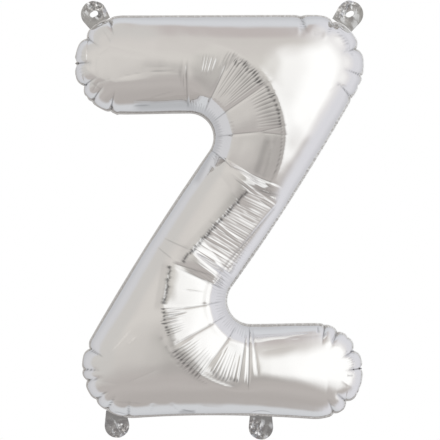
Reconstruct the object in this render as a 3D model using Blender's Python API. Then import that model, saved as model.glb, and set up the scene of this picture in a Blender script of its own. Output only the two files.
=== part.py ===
"""Letter foil balloon in the shape of a Z, inflated, with four tabs to hang it by.

Two film panels are domed away from a flat seam flange that runs round the whole
letter. Each tab is a flap of the flange and folds about its root. Metres, +Z up,
the front faces -Y, and the origin is midway between the two upper tabs' holes,
on the seam plane.
"""

import math
from dataclasses import dataclass

import bmesh
import bpy
import numpy as np

# Film, flange and gaps
FILM_WALL = 0.0016
FLANGE_WIDTH = 0.0018
FLANGE_THICKNESS = 0.0010
TAB_THICKNESS = 0.0008
FIT_GAP = 0.0003
FOLD_GAP = 0.00045
LAND_DEPTH = 0.0040
LAND_MARGIN = 0.0003

# Rounded corners of the letter, measured to the flange's outer edge
LEFT_END_CENTRE = (-0.0843, -0.0441)
LEFT_END_RADIUS = 0.0426
UPPER_CORNER_CENTRE = (0.0791, -0.0441)
UPPER_CORNER_RADIUS = 0.0430
LOWER_CORNER_CENTRE = (-0.0765, -0.3038)
LOWER_CORNER_RADIUS = 0.0439
RIGHT_END_CENTRE = (0.0800, -0.3073)
RIGHT_END_RADIUS = 0.0413
UPPER_CROOK_CENTRE = (-0.0280, -0.1065)
UPPER_CROOK_RADIUS = 0.0206
LOWER_CROOK_CENTRE = (0.0249, -0.2466)
LOWER_CROOK_RADIUS = 0.0202

# Directions, in degrees, in which the edges leave the corners
DIAGONAL_RIGHT_TOP = -29.8
DIAGONAL_RIGHT_FOOT = 144.0
DIAGONAL_LEFT_TOP = -35.0
DIAGONAL_LEFT_FOOT = 150.5
BOTTOM_EDGE_START = 274.0
BOTTOM_EDGE_END = 266.0

# Notches between the lobes of the edge, in degrees about each corner's centre
LEFT_END_NOTCHES = (108, 144, 180, 210, 228, 252)
UPPER_CORNER_NOTCHES = (66, 20, -22)
LOWER_CORNER_NOTCHES = (156, 180, 197, 221, 238, 265)
RIGHT_END_NOTCHES = (78, 60, 29, 2, -23, -45, -65)
NOTCH_DEPTH = 0.0026
NOTCH_REACH = 12.0

# Creases that run out from the two crooks, in degrees about the crook's centre
UPPER_CREASES = (86.0, 60.0, 34.0, 0.0, -28.5)
LOWER_CREASES = (151.5, 180.0, 212.0, 240.0, 266.0)
CREASE_SHARE = 0.08
CREASE_FADE = (0.25, 0.55)

# An arm swells to a half circle up to this height, and wider stretches stay flatter
ARM_CROWN = 0.0400
WIDE_CROWN_SHARE = 0.55

# Fineness of the mesh
EDGE_POINT_STEP = 0.0005
END_STEPS = 15
ARM_STEPS = 6
RUN_STEPS = 10
CORNER_STEPS = 20
CORNER_EXIT_STEPS = 2
SHANK_STEPS = 9
OUTER_CELLS = 12
INNER_CELLS = 6
TAB_ARC_STEPS = 20
HOLE_SIDES = 24

ALONG, ACROSS = 1.0, -1.0


@dataclass(frozen=True)
class Tab:
    """A flap on the flange: its root, the round head that it ends in, and its hole."""

    name: str
    root_centre: tuple
    root_normal: float
    root_half_width: float
    head_centre: tuple
    head_radius: float
    hole_radius: float


def beside(centre, radius, degrees):
    """The point at this radius and direction from a centre."""
    angle = math.radians(degrees)
    return (centre[0] + radius * math.cos(angle), centre[1] + radius * math.sin(angle))


TABS = (
    Tab(
        "hanging_tab_left",
        beside(LEFT_END_CENTRE, LEFT_END_RADIUS + LAND_MARGIN, 119.9),
        119.9,
        0.0100,
        (-0.1101, -0.0003),
        0.0112,
        0.0032,
    ),
    Tab(
        "hanging_tab_right",
        beside(UPPER_CORNER_CENTRE, UPPER_CORNER_RADIUS + LAND_MARGIN, 55.0),
        55.0,
        0.0100,
        (0.1101, -0.0003),
        0.0114,
        0.0032,
    ),
    Tab(
        "lower_tab",
        beside(LOWER_CORNER_CENTRE, LOWER_CORNER_RADIUS + LAND_MARGIN, 251.0),
        251.0,
        0.0098,
        (-0.0903, -0.3541),
        0.0106,
        0.0,
    ),
    Tab(
        "filling_tab",
        (0.0335, -0.3466),
        270.0,
        0.0095,
        (0.0335, -0.3558),
        0.0105,
        0.0,
    ),
)


def arc(centre, radius, start, end, facing, notches=()):
    """Points and outward normals of a round stretch of the edge, with its notches cut in."""
    count = max(2, round(abs(math.radians(end - start)) * radius / EDGE_POINT_STEP))
    degrees = np.linspace(start, end, count)
    outward = np.stack([np.cos(np.radians(degrees)), np.sin(np.radians(degrees))], axis=1)
    points = np.array(centre) + radius * outward
    for notch in notches:
        away = np.abs((degrees - notch + 180.0) % 360.0 - 180.0) / NOTCH_REACH
        cut = NOTCH_DEPTH * np.clip(1.0 - away, 0.0, 1.0) ** 2
        points -= outward * cut[:, None]
    return points, outward * facing


def bow(before, after):
    """A smooth run of the edge from the end of one arc to the start of the next."""
    (start, start_normal), (end, end_normal) = (before[0][-1], before[1][-1]), (after[0][0], after[1][0])
    span = np.linalg.norm(end - start)
    turn = np.array([[0.0, 1.0], [-1.0, 0.0]])
    start_way = turn @ start_normal
    end_way = turn @ end_normal
    if start_way @ (end - start) < 0:
        start_way = -start_way
        end_way = -end_way
    count = max(3, round(span / EDGE_POINT_STEP))
    t = np.linspace(0.0, 1.0, count)[1:-1, None]
    points = (
        (2 * t**3 - 3 * t**2 + 1) * start
        + (t**3 - 2 * t**2 + t) * span * start_way
        + (3 * t**2 - 2 * t**3) * end
        + (t**3 - t**2) * span * end_way
    )
    normals = start_normal * (1 - t) + end_normal * t
    normals /= np.linalg.norm(normals, axis=1, keepdims=True)
    return points, normals


class Rail:
    """One side of the letter's edge, from the left end's tip to the right end's tip."""

    def __init__(self, *arcs):
        stretches = [arcs[0]]
        for before, after in zip(arcs, arcs[1:]):
            stretches += [bow(before, after), after]
        self.points = np.concatenate([points for points, _ in stretches])
        self.normals = np.concatenate([normals for _, normals in stretches])
        ends = np.cumsum([0] + [len(points) for points, _ in stretches])
        self.spans = list(zip(ends[:-1], ends[1:] - 1))

    def at(self, places, inset):
        """Points on the rail at these fractional places, moved in by the inset."""
        whole = np.arange(len(self.points))
        moved = self.points - inset * self.normals
        return np.stack([np.interp(places, whole, moved[:, k]) for k in range(2)], axis=1)

    def place_of(self, span, values, wanted):
        """The place within a span at which a steadily changing value is the wanted one."""
        first, last = span
        inside = values[first : last + 1]
        rising = 1.0 if inside[-1] > inside[0] else -1.0
        return np.interp(rising * np.array(wanted), rising * inside, np.arange(first, last + 1))


def upper_rail():
    """Over the top arm, round the upper corner, down the diagonal and along the bottom arm."""
    return Rail(
        arc(LEFT_END_CENTRE, LEFT_END_RADIUS, 180, 90, ALONG, LEFT_END_NOTCHES),
        arc(UPPER_CORNER_CENTRE, UPPER_CORNER_RADIUS, 90, DIAGONAL_RIGHT_TOP, ALONG, UPPER_CORNER_NOTCHES),
        arc(LOWER_CROOK_CENTRE, LOWER_CROOK_RADIUS, DIAGONAL_RIGHT_FOOT, 270, ACROSS),
        arc(RIGHT_END_CENTRE, RIGHT_END_RADIUS, 90, 0, ALONG, RIGHT_END_NOTCHES),
    )


def lower_rail():
    """Under the top arm, round the upper crook, down the diagonal and along the bottom edge."""
    return Rail(
        arc(LEFT_END_CENTRE, LEFT_END_RADIUS, 180, 270, ALONG, LEFT_END_NOTCHES),
        arc(UPPER_CROOK_CENTRE, UPPER_CROOK_RADIUS, 90, DIAGONAL_LEFT_TOP, ACROSS),
        arc(
            LOWER_CORNER_CENTRE,
            LOWER_CORNER_RADIUS,
            DIAGONAL_LEFT_FOOT,
            BOTTOM_EDGE_START,
            ALONG,
            LOWER_CORNER_NOTCHES,
        ),
        arc(RIGHT_END_CENTRE, RIGHT_END_RADIUS, BOTTOM_EDGE_END, 360, ALONG, RIGHT_END_NOTCHES),
    )


def bearing(points, centre):
    """The direction of each point from a centre, in degrees, with no jump along the row."""
    away = points - np.array(centre)
    return np.degrees(np.unwrap(np.arctan2(away[:, 1], away[:, 0])))


def spread(start, end, steps):
    """Even places from start up to, and without, end."""
    return np.linspace(start, end, steps + 1)[:-1]


def notched_places(rail, span, centre, notches, steps):
    """Even places along a corner's arc, the nearest one moved onto each notch."""
    places = spread(span[0], span[1], steps)
    degrees = bearing(rail.points, centre)
    low, high = sorted((degrees[span[0]], degrees[span[1]]))
    for notch in notches:
        for turned in (notch - 360.0, notch, notch + 360.0):
            if low + 1.0 < turned < high - 1.0:
                place = rail.place_of(span, degrees, turned)
                places[1 + np.argmin(np.abs(places[1:] - place))] = place
    return places


def fan(outer, inner, corner_span, crook_span, centre, corner, notches, creases):
    """Places on both rails of the rungs that spread from a crook to the corner facing it."""
    degrees = bearing(outer.points, centre)
    crook_degrees = bearing(inner.points, centre)
    first_way, last_way = crook_degrees[crook_span[0]], crook_degrees[crook_span[1]]
    shift = 360.0 * np.round((first_way - degrees[corner_span[0]]) / 360.0)
    degrees = degrees + shift
    before, after = corner_span[0], corner_span[1]
    whole = (max(0, before - 4 * CORNER_STEPS * 10), min(len(degrees) - 1, after + 4 * CORNER_STEPS * 10))
    start = outer.place_of(whole, degrees, first_way)
    end = outer.place_of(whole, degrees, last_way)
    corner_places = notched_places(outer, corner_span, corner, notches, CORNER_STEPS)
    runs = (RUN_STEPS, CORNER_EXIT_STEPS)
    if before - start < end - after:
        runs = runs[::-1]
    places = np.concatenate([spread(start, before, runs[0]), corner_places, spread(after, end, runs[1])])
    ways = np.interp(places, np.arange(len(degrees)), degrees)
    for crease in creases:
        nearest = 1 + np.argmin(np.abs(ways[1:] - crease))
        ways[nearest] = crease
        places[nearest] = outer.place_of(whole, degrees, ways[nearest])
    return places, inner.place_of(crook_span, crook_degrees, ways), ways


def rungs():
    """Both rails, the places of the rungs on them, and how deep a crease each rung carries."""
    upper, lower = upper_rail(), lower_rail()
    up_end, top_run, up_corner, right_run, low_crook, arm_run, up_tip = upper.spans
    low_end, under_run, up_crook, left_run, low_corner, foot_run, low_tip = lower.spans
    first = fan(
        upper, lower, up_corner, up_crook, UPPER_CROOK_CENTRE,
        UPPER_CORNER_CENTRE, UPPER_CORNER_NOTCHES, UPPER_CREASES,
    )
    second = fan(
        lower, upper, low_corner, low_crook, LOWER_CROOK_CENTRE,
        LOWER_CORNER_CENTRE, LOWER_CORNER_NOTCHES, LOWER_CREASES,
    )
    shank_top = upper.place_of(right_run, bearing(upper.points, UPPER_CROOK_CENTRE), DIAGONAL_LEFT_TOP)
    second_end = lower.place_of(foot_run, lower.points[:, 0], LOWER_CROOK_CENTRE[0])
    uppers = [
        notched_places(upper, up_end, LEFT_END_CENTRE, LEFT_END_NOTCHES, END_STEPS),
        spread(up_end[1], first[0][0], ARM_STEPS),
        first[0],
        spread(shank_top, low_crook[0], SHANK_STEPS),
        second[1],
        spread(low_crook[1], up_tip[0], ARM_STEPS),
        notched_places(upper, up_tip, RIGHT_END_CENTRE, RIGHT_END_NOTCHES, END_STEPS),
        [len(upper.points) - 1],
    ]
    lowers = [
        notched_places(lower, low_end, LEFT_END_CENTRE, LEFT_END_NOTCHES, END_STEPS),
        spread(low_end[1], up_crook[0], ARM_STEPS),
        first[1],
        spread(up_crook[1], second[0][0], SHANK_STEPS),
        second[0],
        spread(second_end, low_tip[0], ARM_STEPS),
        notched_places(lower, low_tip, RIGHT_END_CENTRE, RIGHT_END_NOTCHES, END_STEPS),
        [len(lower.points) - 1],
    ]
    creased = [np.zeros(len(section)) for section in uppers]
    creased[2] = np.array([1.0 if any(abs(way - c) < 0.01 for c in UPPER_CREASES) else 0.0 for way in first[2]])
    creased[4] = np.array([-1.0 if any(abs(way - c) < 0.01 for c in LOWER_CREASES) else 0.0 for way in second[2]])
    return upper, lower, np.concatenate(uppers), np.concatenate(lowers), np.concatenate(creased)


def ladder(inset, cells):
    """A grid over the letter: one row a rung, evenly spaced in angle about a round section."""
    upper, lower, upper_places, lower_places, _ = RUNGS
    top = upper.at(upper_places, inset)
    foot = lower.at(lower_places, inset)
    top[0] = foot[0] = (top[0] + foot[0]) / 2
    top[-1] = foot[-1] = (top[-1] + foot[-1]) / 2
    share = (1.0 - np.cos(np.linspace(0.0, math.pi, cells + 1))) / 2
    return foot[:, None, :] + (top - foot)[:, None, :] * share[None, :, None]


def grid_triangles(rows, columns):
    """Two triangles for each cell of a grid, as indices into its flattened points."""
    index = np.arange(rows * columns).reshape(rows, columns)
    a, b, c, d = index[:-1, :-1], index[1:, :-1], index[1:, 1:], index[:-1, 1:]
    return np.concatenate(
        [np.stack([a, b, c], axis=-1).reshape(-1, 3), np.stack([a, c, d], axis=-1).reshape(-1, 3)]
    )


def crown(grid):
    """Height of an inflated film over the grid: a round section over a straight arm.

    A membrane under an even load is solved over the outline, and the height is
    the square root of twice its deflection, which makes a strip's section a
    half circle.
    """
    rows, columns = grid.shape[:2]
    flat = grid.reshape(-1, 2)
    triangles = grid_triangles(rows, columns)
    corners = flat[triangles]
    edges = corners[:, [2, 0, 1]] - corners[:, [1, 2, 0]]
    area = 0.5 * np.abs(edges[:, 0, 0] * edges[:, 1, 1] - edges[:, 0, 1] * edges[:, 1, 0])
    sound = area > 1e-12
    triangles, edges, area = triangles[sound], edges[sound], area[sound]
    stiffness = np.zeros((len(flat), len(flat)))
    load = np.zeros(len(flat))
    for i in range(3):
        np.add.at(load, triangles[:, i], area / 3)
        for j in range(3):
            pull = (edges[:, i] * edges[:, j]).sum(axis=1) / (4 * area)
            np.add.at(stiffness, (triangles[:, i], triangles[:, j]), pull)
    inside = np.zeros((rows, columns), bool)
    inside[1:-1, 1:-1] = True
    inside = inside.reshape(-1)
    sag = np.zeros(len(flat))
    sag[inside] = np.linalg.solve(stiffness[np.ix_(inside, inside)], load[inside])
    height = np.sqrt(2 * np.clip(sag, 0, None)).reshape(rows, columns)
    return np.where(height > ARM_CROWN, ARM_CROWN + WIDE_CROWN_SHARE * (height - ARM_CROWN), height)


def creased_crown(grid):
    """The crown with its creases pressed in on the rungs that carry one."""
    creased = RUNGS[4]
    share = (1.0 - np.cos(np.linspace(0.0, math.pi, grid.shape[1]))) / 2
    low, high = CREASE_FADE
    from_foot = np.clip((high - share) / (high - low), 0.0, 1.0)
    from_top = from_foot[::-1]
    dip = np.where(creased[:, None] > 0, from_foot, from_top) * np.abs(creased)[:, None]
    return crown(grid) * (1.0 - CREASE_SHARE * dip)


def outline_loop(rows, columns):
    """Indices of the grid's border as one loop, each tip counted once."""
    index = np.arange(rows * columns).reshape(rows, columns)
    return np.concatenate([index[:, -1], index[-2:0:-1, 0]])


def material(name, colour, roughness):
    """A metal film's plain finish."""
    made = bpy.data.materials.new(name)
    made.use_nodes = True
    shader = made.node_tree.nodes["Principled BSDF"]
    shader.inputs["Base Color"].default_value = (*colour, 1.0)
    shader.inputs["Metallic"].default_value = 1.0
    shader.inputs["Roughness"].default_value = roughness
    return made


def add_object(name, mesh, finish, parent, location=(0.0, 0.0, 0.0), turn=0.0):
    """Puts a mesh into the scene under the balloon's empty."""
    made = bpy.data.objects.new(name, mesh)
    made.location = location
    made.rotation_euler = (0.0, turn, 0.0)
    made.parent = parent
    made.data.materials.append(finish)
    bpy.context.scene.collection.objects.link(made)
    return made


def mesh_of(name, vertices, faces):
    """A closed mesh with its doubled points merged and its faces turned outwards."""
    form = bmesh.new()
    points = [form.verts.new(vertex) for vertex in vertices]
    for face in faces:
        form.faces.new([points[k] for k in face])
    bmesh.ops.remove_doubles(form, verts=form.verts[:], dist=1e-6)
    bmesh.ops.dissolve_degenerate(form, edges=form.edges[:], dist=1e-7)
    bmesh.ops.recalc_face_normals(form, faces=form.faces[:])
    mesh = bpy.data.meshes.new(name)
    form.to_mesh(mesh)
    form.free()
    mesh.shade_smooth()
    mesh.set_sharp_from_angle(angle=math.radians(50))
    return mesh


def placed(grid, height):
    """The grid's points as x, y, z at these heights off the seam plane."""
    return np.stack([grid[..., 0], height, grid[..., 1]], axis=-1).reshape(-1, 3)


def panel(name, side, finish, parent):
    """One film panel: a domed wall, open at the seam plane. Side -1 is the front."""
    rim = FLANGE_THICKNESS / 2 + FIT_GAP
    outer_grid = ladder(FLANGE_WIDTH, OUTER_CELLS)
    inner_grid = ladder(FLANGE_WIDTH + FILM_WALL, INNER_CELLS)
    rows = len(outer_grid)
    outer = placed(outer_grid, side * (rim + creased_crown(outer_grid)))
    inner = placed(inner_grid, side * (rim + creased_crown(inner_grid)))
    outer_loop = outline_loop(rows, OUTER_CELLS + 1)
    inner_loop = outline_loop(rows, INNER_CELLS + 1) + len(outer)
    faces = grid_faces(rows, OUTER_CELLS + 1, 0)
    faces += grid_faces(rows, INNER_CELLS + 1, len(outer))
    faces += bridge(outer_loop, inner_loop)
    return add_object(name, mesh_of(name, np.concatenate([outer, inner]), faces), finish, parent)


def grid_faces(rows, columns, first):
    """The grid's triangles, without those that a tip's shared point flattens."""
    kept = []
    for a, b, c in grid_triangles(rows, columns):
        tips = [k // columns in (0, rows - 1) for k in (a, b, c)]
        if sum(tips) > 1:
            continue
        kept.append((a + first, b + first, c + first))
    return kept


def bridge(one, other):
    """Triangles that join two loops of as many points."""
    faces = []
    for k in range(len(one)):
        after = (k + 1) % len(one)
        faces.append((one[k], one[after], other[after]))
        faces.append((one[k], other[after], other[k]))
    return faces


def flange(finish, parent):
    """The flat welded seam round the letter, with a straight land at each tab's root."""
    outer = ladder(0.0, 2)
    inner = ladder(FLANGE_WIDTH + FILM_WALL, 2)
    loop = outline_loop(len(outer), 3)
    rings = []
    for grid, height in ((outer, -1), (outer, 1), (inner, 1), (inner, -1)):
        rings.append(placed(grid, np.full(grid.shape[:2], height * FLANGE_THICKNESS / 2))[loop])
    count = len(loop)
    faces = []
    for k in range(4):
        faces += bridge(np.arange(count) + k * count, np.arange(count) + (k + 1) % 4 * count)
    seam = add_object("seam_flange", mesh_of("seam_flange", np.concatenate(rings), faces), finish, parent)
    for tab in TABS:
        land = land_of(tab, finish, parent)
        union = seam.modifiers.new(land.name, "BOOLEAN")
        union.operation = "UNION"
        union.object = land
    return seam


def land_of(tab, finish, parent):
    """The strip that gives a tab a straight root on the flange, joined to it as a guide."""
    form = bmesh.new()
    bmesh.ops.create_cube(form, size=1.0)
    for vertex in form.verts:
        vertex.co.x *= 2 * tab.root_half_width
        vertex.co.y *= TAB_THICKNESS
        vertex.co.z = (vertex.co.z - 0.5) * LAND_DEPTH
    mesh = bpy.data.meshes.new(tab.name + "_land")
    form.to_mesh(mesh)
    form.free()
    x, z = tab.root_centre
    land = add_object(mesh.name, mesh, finish, parent, (x, 0.0, z), math.radians(90.0 - tab.root_normal))
    land.hide_render = True
    land.display_type = "WIRE"
    return land


def tab_outline(head, radius, half_width, root):
    """A flap's outline: straight from its root's ends, round its head. Root along X, head at +Z."""
    points = []
    for side in (1, -1):
        corner = np.array([side * half_width, root])
        gap = np.array(head) - corner
        reach = np.linalg.norm(gap)
        lean = math.asin(radius / reach) if reach > radius else math.pi / 2
        way = math.atan2(gap[1], gap[0]) - side * lean
        length = math.sqrt(max(reach**2 - radius**2, 0.0))
        points.append((corner, corner + length * np.array([math.cos(way), math.sin(way)])))
    (right_root, right_touch), (left_root, left_touch) = points
    start = math.atan2(*(right_touch - head)[::-1])
    end = math.atan2(*(left_touch - head)[::-1])
    if end < start:
        end += 2 * math.pi
    around = np.linspace(start, end, TAB_ARC_STEPS + 1)
    round_part = np.array(head) + radius * np.stack([np.cos(around), np.sin(around)], axis=1)
    return [right_root, *round_part, left_root]


def tab_piece(tab, finish, parent):
    """A tab, with its own origin on its fold line."""
    turn = math.radians(90.0 - tab.root_normal)
    outward = np.array([math.sin(turn), math.cos(turn)])
    sideways = np.array([math.cos(turn), -math.sin(turn)])
    fold = np.array(tab.root_centre) + FOLD_GAP * outward
    away = np.array(tab.head_centre) - fold
    head = np.array([away @ sideways, away @ outward])
    outline = tab_outline(head, tab.head_radius, tab.root_half_width, FOLD_GAP)
    form = bmesh.new()
    rim = [form.verts.new((x, -TAB_THICKNESS / 2, z)) for x, z in outline]
    face = form.faces.new(rim)
    pushed = bmesh.ops.extrude_face_region(form, geom=[face])
    for item in pushed["geom"]:
        if isinstance(item, bmesh.types.BMVert):
            item.co.y += TAB_THICKNESS
    bmesh.ops.recalc_face_normals(form, faces=form.faces[:])
    mesh = bpy.data.meshes.new(tab.name)
    form.to_mesh(mesh)
    form.free()
    made = add_object(tab.name, mesh, finish, parent, (fold[0], 0.0, fold[1]), turn)
    if tab.hole_radius > 0:
        cut_hole(made, tab, head, finish, parent)
    return made


def cut_hole(piece, tab, head, finish, parent):
    """The round hole that the cord goes through."""
    form = bmesh.new()
    bmesh.ops.create_cone(
        form,
        cap_ends=True,
        segments=HOLE_SIDES,
        radius1=tab.hole_radius,
        radius2=tab.hole_radius,
        depth=8 * TAB_THICKNESS,
    )
    for vertex in form.verts:
        x, y, z = vertex.co
        vertex.co = (x + head[0], -z, y + head[1])
    mesh = bpy.data.meshes.new(tab.name + "_hole")
    form.to_mesh(mesh)
    form.free()
    punch = add_object(mesh.name, mesh, finish, parent, piece.location, piece.rotation_euler.y)
    punch.hide_render = True
    punch.display_type = "WIRE"
    cut = piece.modifiers.new("hole", "BOOLEAN")
    cut.operation = "DIFFERENCE"
    cut.object = punch


for old in list(bpy.data.objects):
    bpy.data.objects.remove(old)

RUNGS = rungs()

balloon = bpy.data.objects.new("letter_balloon", None)
bpy.context.scene.collection.objects.link(balloon)
film = material("mirror_film", (0.80, 0.79, 0.78), 0.10)
tab_film = material("tab_film", (0.70, 0.70, 0.70), 0.18)
panel("front_panel", -1, film, balloon)
panel("back_panel", 1, film, balloon)
flange(film, balloon)
for each in TABS:
    tab_piece(each, tab_film, balloon)
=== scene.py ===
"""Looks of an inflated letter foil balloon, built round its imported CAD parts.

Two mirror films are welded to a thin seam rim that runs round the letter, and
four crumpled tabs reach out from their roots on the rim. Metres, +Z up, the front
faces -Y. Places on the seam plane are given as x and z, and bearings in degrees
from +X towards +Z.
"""

import logging
import math
from dataclasses import dataclass, field, replace
from enum import Enum
from functools import partial
from typing import NamedTuple, Protocol, Sequence

import bpy
import numpy as np
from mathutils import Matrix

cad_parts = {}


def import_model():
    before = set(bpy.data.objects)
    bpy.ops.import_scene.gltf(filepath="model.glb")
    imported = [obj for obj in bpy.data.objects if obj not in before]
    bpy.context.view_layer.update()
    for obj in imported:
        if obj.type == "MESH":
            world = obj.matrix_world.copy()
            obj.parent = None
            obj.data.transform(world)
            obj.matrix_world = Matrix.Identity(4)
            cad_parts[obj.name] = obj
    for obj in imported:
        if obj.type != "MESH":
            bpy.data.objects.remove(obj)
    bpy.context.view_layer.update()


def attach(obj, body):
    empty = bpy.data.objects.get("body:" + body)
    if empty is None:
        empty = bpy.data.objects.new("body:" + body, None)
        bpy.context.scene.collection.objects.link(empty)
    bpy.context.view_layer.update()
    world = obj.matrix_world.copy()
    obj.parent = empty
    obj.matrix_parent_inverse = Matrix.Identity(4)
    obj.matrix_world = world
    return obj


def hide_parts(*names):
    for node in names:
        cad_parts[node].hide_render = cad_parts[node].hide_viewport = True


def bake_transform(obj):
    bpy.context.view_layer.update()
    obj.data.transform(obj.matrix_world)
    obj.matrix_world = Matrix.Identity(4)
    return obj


LOG = logging.getLogger("letter_balloon")
Point = tuple[float, float]
Span = tuple[float, float]
Colour = tuple[float, float, float]
Steps = tuple[int, int, int]

EDGE_STEP = 0.00025
RIM_WIDTH = 0.0018
RIM_HALF_THICKNESS = 0.00012
FILM_LIFT = 0.00020
RIM_TUCK = 0.0012
LINE_WIDTH = 0.00050
TINY = 1e-6


class Side(Enum):
    """Which way a film panel faces along Y."""

    FRONT = -1.0
    BACK = 1.0


def smooth(value: np.ndarray) -> np.ndarray:
    """A soft ramp from 0 to 1 over the same range of its input: 3 times the square less 2 times the cube.

    Args:
        value: Any numbers; those outside 0 to 1 are held at the ends.

    Returns:
        The eased numbers.
    """
    held = np.clip(value, 0.0, 1.0)
    return held * held * (3.0 - 2.0 * held)


def between(share: np.ndarray, rise: float, fall: float) -> np.ndarray:
    """A soft window over 0 to 1, which rises over the first share and falls over the last."""
    return smooth(share / rise) * smooth((1 - share) / fall)


def beside(centre: Point, bearing: float, reach: float) -> Point:
    """The point at a bearing in degrees and a distance from a centre."""
    angle = math.radians(bearing)
    return (centre[0] + reach * math.cos(angle), centre[1] + reach * math.sin(angle))


# The outline


@dataclass(frozen=True)
class Arc:
    """A round stretch of the letter's edge; facing is -1 where the edge is hollow."""

    centre: Point
    radius: float
    start: float
    end: float
    facing: float = 1.0

    def trace(self) -> tuple[np.ndarray, np.ndarray]:
        """Traces the arc: the centre plus the radius times the direction, at even steps of angle.

        Returns:
            Points along the arc, and the outward normals there.
        """
        sweep = abs(math.radians(self.end - self.start)) * self.radius
        angle = np.radians(np.linspace(self.start, self.end, max(3, round(sweep / EDGE_STEP))))
        outward = np.stack([np.cos(angle), np.sin(angle)], axis=1)
        return np.array(self.centre) + self.radius * outward, outward * self.facing


@dataclass(frozen=True)
class Nick:
    """A small pinch in the edge, or a small lump where its depth is below zero."""

    place: Point
    depth: float
    reach: float


def bow(
    before: tuple[np.ndarray, np.ndarray], after: tuple[np.ndarray, np.ndarray]
) -> tuple[np.ndarray, np.ndarray]:
    """A smooth run of the edge between two arcs: a cubic that leaves and arrives along their tangents.

    Args:
        before: Points and normals of the arc that the run leaves.
        after: Points and normals of the arc that it reaches.

    Returns:
        Points and outward normals of the run.
    """
    start, start_normal = before[0][-1], before[1][-1]
    end, end_normal = after[0][0], after[1][0]
    span = float(np.linalg.norm(end - start))
    quarter_turn = np.array([[0.0, 1.0], [-1.0, 0.0]])
    start_way, end_way = quarter_turn @ start_normal, quarter_turn @ end_normal
    if start_way @ (end - start) < 0:
        start_way, end_way = -start_way, -end_way
    t = np.linspace(0.0, 1.0, max(3, round(span / EDGE_STEP)))[1:-1, None]
    points = (
        (2 * t**3 - 3 * t**2 + 1) * start
        + (t**3 - 2 * t**2 + t) * span * start_way
        + (3 * t**2 - 2 * t**3) * end
        + (t**3 - t**2) * span * end_way
    )
    normals = start_normal * (1 - t) + end_normal * t
    return points, normals / np.linalg.norm(normals, axis=1, keepdims=True)


class Rail:
    """One side of the letter's edge, from the left end's tip to the right end's tip."""

    def __init__(self, arcs: Sequence[Arc], nicks: Sequence[Nick]) -> None:
        """Joins the arcs by smooth runs and pinches the nicks in, each by its depth times a squared fall-off.

        Args:
            arcs: The round stretches, in order along the rail.
            nicks: Pinches of the edge; those far from this rail leave it alone.
        """
        traced = [arc.trace() for arc in arcs]
        stretches = [traced[0]]
        for before, after in zip(traced, traced[1:]):
            stretches += [bow(before, after), after]
        self.points = np.concatenate([points for points, _ in stretches])
        self.normals = np.concatenate([normals for _, normals in stretches])
        for nick in nicks:
            away = np.linalg.norm(self.points - np.array(nick.place), axis=1) / nick.reach
            pinch = nick.depth * np.clip(1.0 - away, 0.0, 1.0) ** 2
            self.points = self.points - self.normals * pinch[:, None]
        ends = np.cumsum([0] + [len(points) for points, _ in stretches])
        self.spans = list(zip(ends[:-1].tolist(), (ends[1:] - 1).tolist()))
        steps = np.linalg.norm(np.diff(self.points, axis=0), axis=1)
        self.lengths = np.concatenate([[0.0], np.cumsum(steps)])

    def at(self, places: np.ndarray, inset: float) -> np.ndarray:
        """Points between the rail's own ones, by straight interpolation.

        Args:
            places: Fractional places, counted in the rail's points.
            inset: How far the rail is moved in along its normals.

        Returns:
            One point for each place.
        """
        whole = np.arange(len(self.points))
        moved = self.points - inset * self.normals
        return np.stack([np.interp(places, whole, moved[:, k]) for k in range(2)], axis=1)

    def length_at(self, places: np.ndarray) -> np.ndarray:
        """How far along the rail each fractional place is."""
        return np.interp(places, np.arange(len(self.lengths)), self.lengths)

    def bearing(self, centre: Point) -> np.ndarray:
        """Each point's direction from a centre, in degrees, with no jump along the rail."""
        away = self.points - np.array(centre)
        return np.degrees(np.unwrap(np.arctan2(away[:, 1], away[:, 0])))

    @staticmethod
    def place_of(span: tuple[int, int], values: np.ndarray, wanted: np.ndarray) -> np.ndarray:
        """The places in a span where a steadily changing value is the wanted one.

        Args:
            span: The first and the last of the points to look among.
            values: The value at every point of the rail.
            wanted: The values to find.

        Returns:
            A fractional place for each wanted value.
        """
        inside = values[span[0] : span[1] + 1]
        rising = 1.0 if inside[-1] > inside[0] else -1.0
        return np.interp(rising * wanted, rising * inside, np.arange(span[0], span[1] + 1))


def evenly(start: float, end: float, steps: int) -> np.ndarray:
    """Even places from start up to, and without, end."""
    return np.linspace(start, end, steps + 1)[:-1]


# The pinches of the edge round each corner: bearing, depth, and reach along the edge.
LEFT_END_NICKS = (
    (108.0, 0.0013, 0.006), (144.5, 0.0034, 0.009), (171.0, -0.0005, 0.003), (178.8, 0.0030, 0.009),
    (208.0, 0.0040, 0.009), (220.5, 0.0008, 0.003), (229.0, 0.0010, 0.003), (254.0, 0.0013, 0.004),
    (262.0, -0.0008, 0.003),
)
UPPER_CORNER_NICKS = (
    (105.3, 0.0015, 0.006), (66.0, 0.0026, 0.009), (20.6, 0.0038, 0.009), (-13.0, 0.0016, 0.003),
    (-25.0, 0.0013, 0.004), (-42.0, 0.0016, 0.004), (-53.0, 0.0010, 0.004),
)
LOWER_CORNER_NICKS = (
    (157.0, 0.0034, 0.008), (182.3, 0.0012, 0.004), (196.2, 0.0028, 0.007), (221.5, 0.0018, 0.006),
    (238.5, 0.0008, 0.004),
)
RIGHT_END_NICKS = (
    (78.0, 0.0006, 0.004), (60.0, 0.0024, 0.007), (46.0, 0.0010, 0.003), (28.6, 0.0042, 0.008),
    (3.8, 0.0026, 0.005), (-20.0, 0.0004, 0.003), (-44.0, 0.0040, 0.008), (-66.0, 0.0016, 0.005),
)


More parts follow.
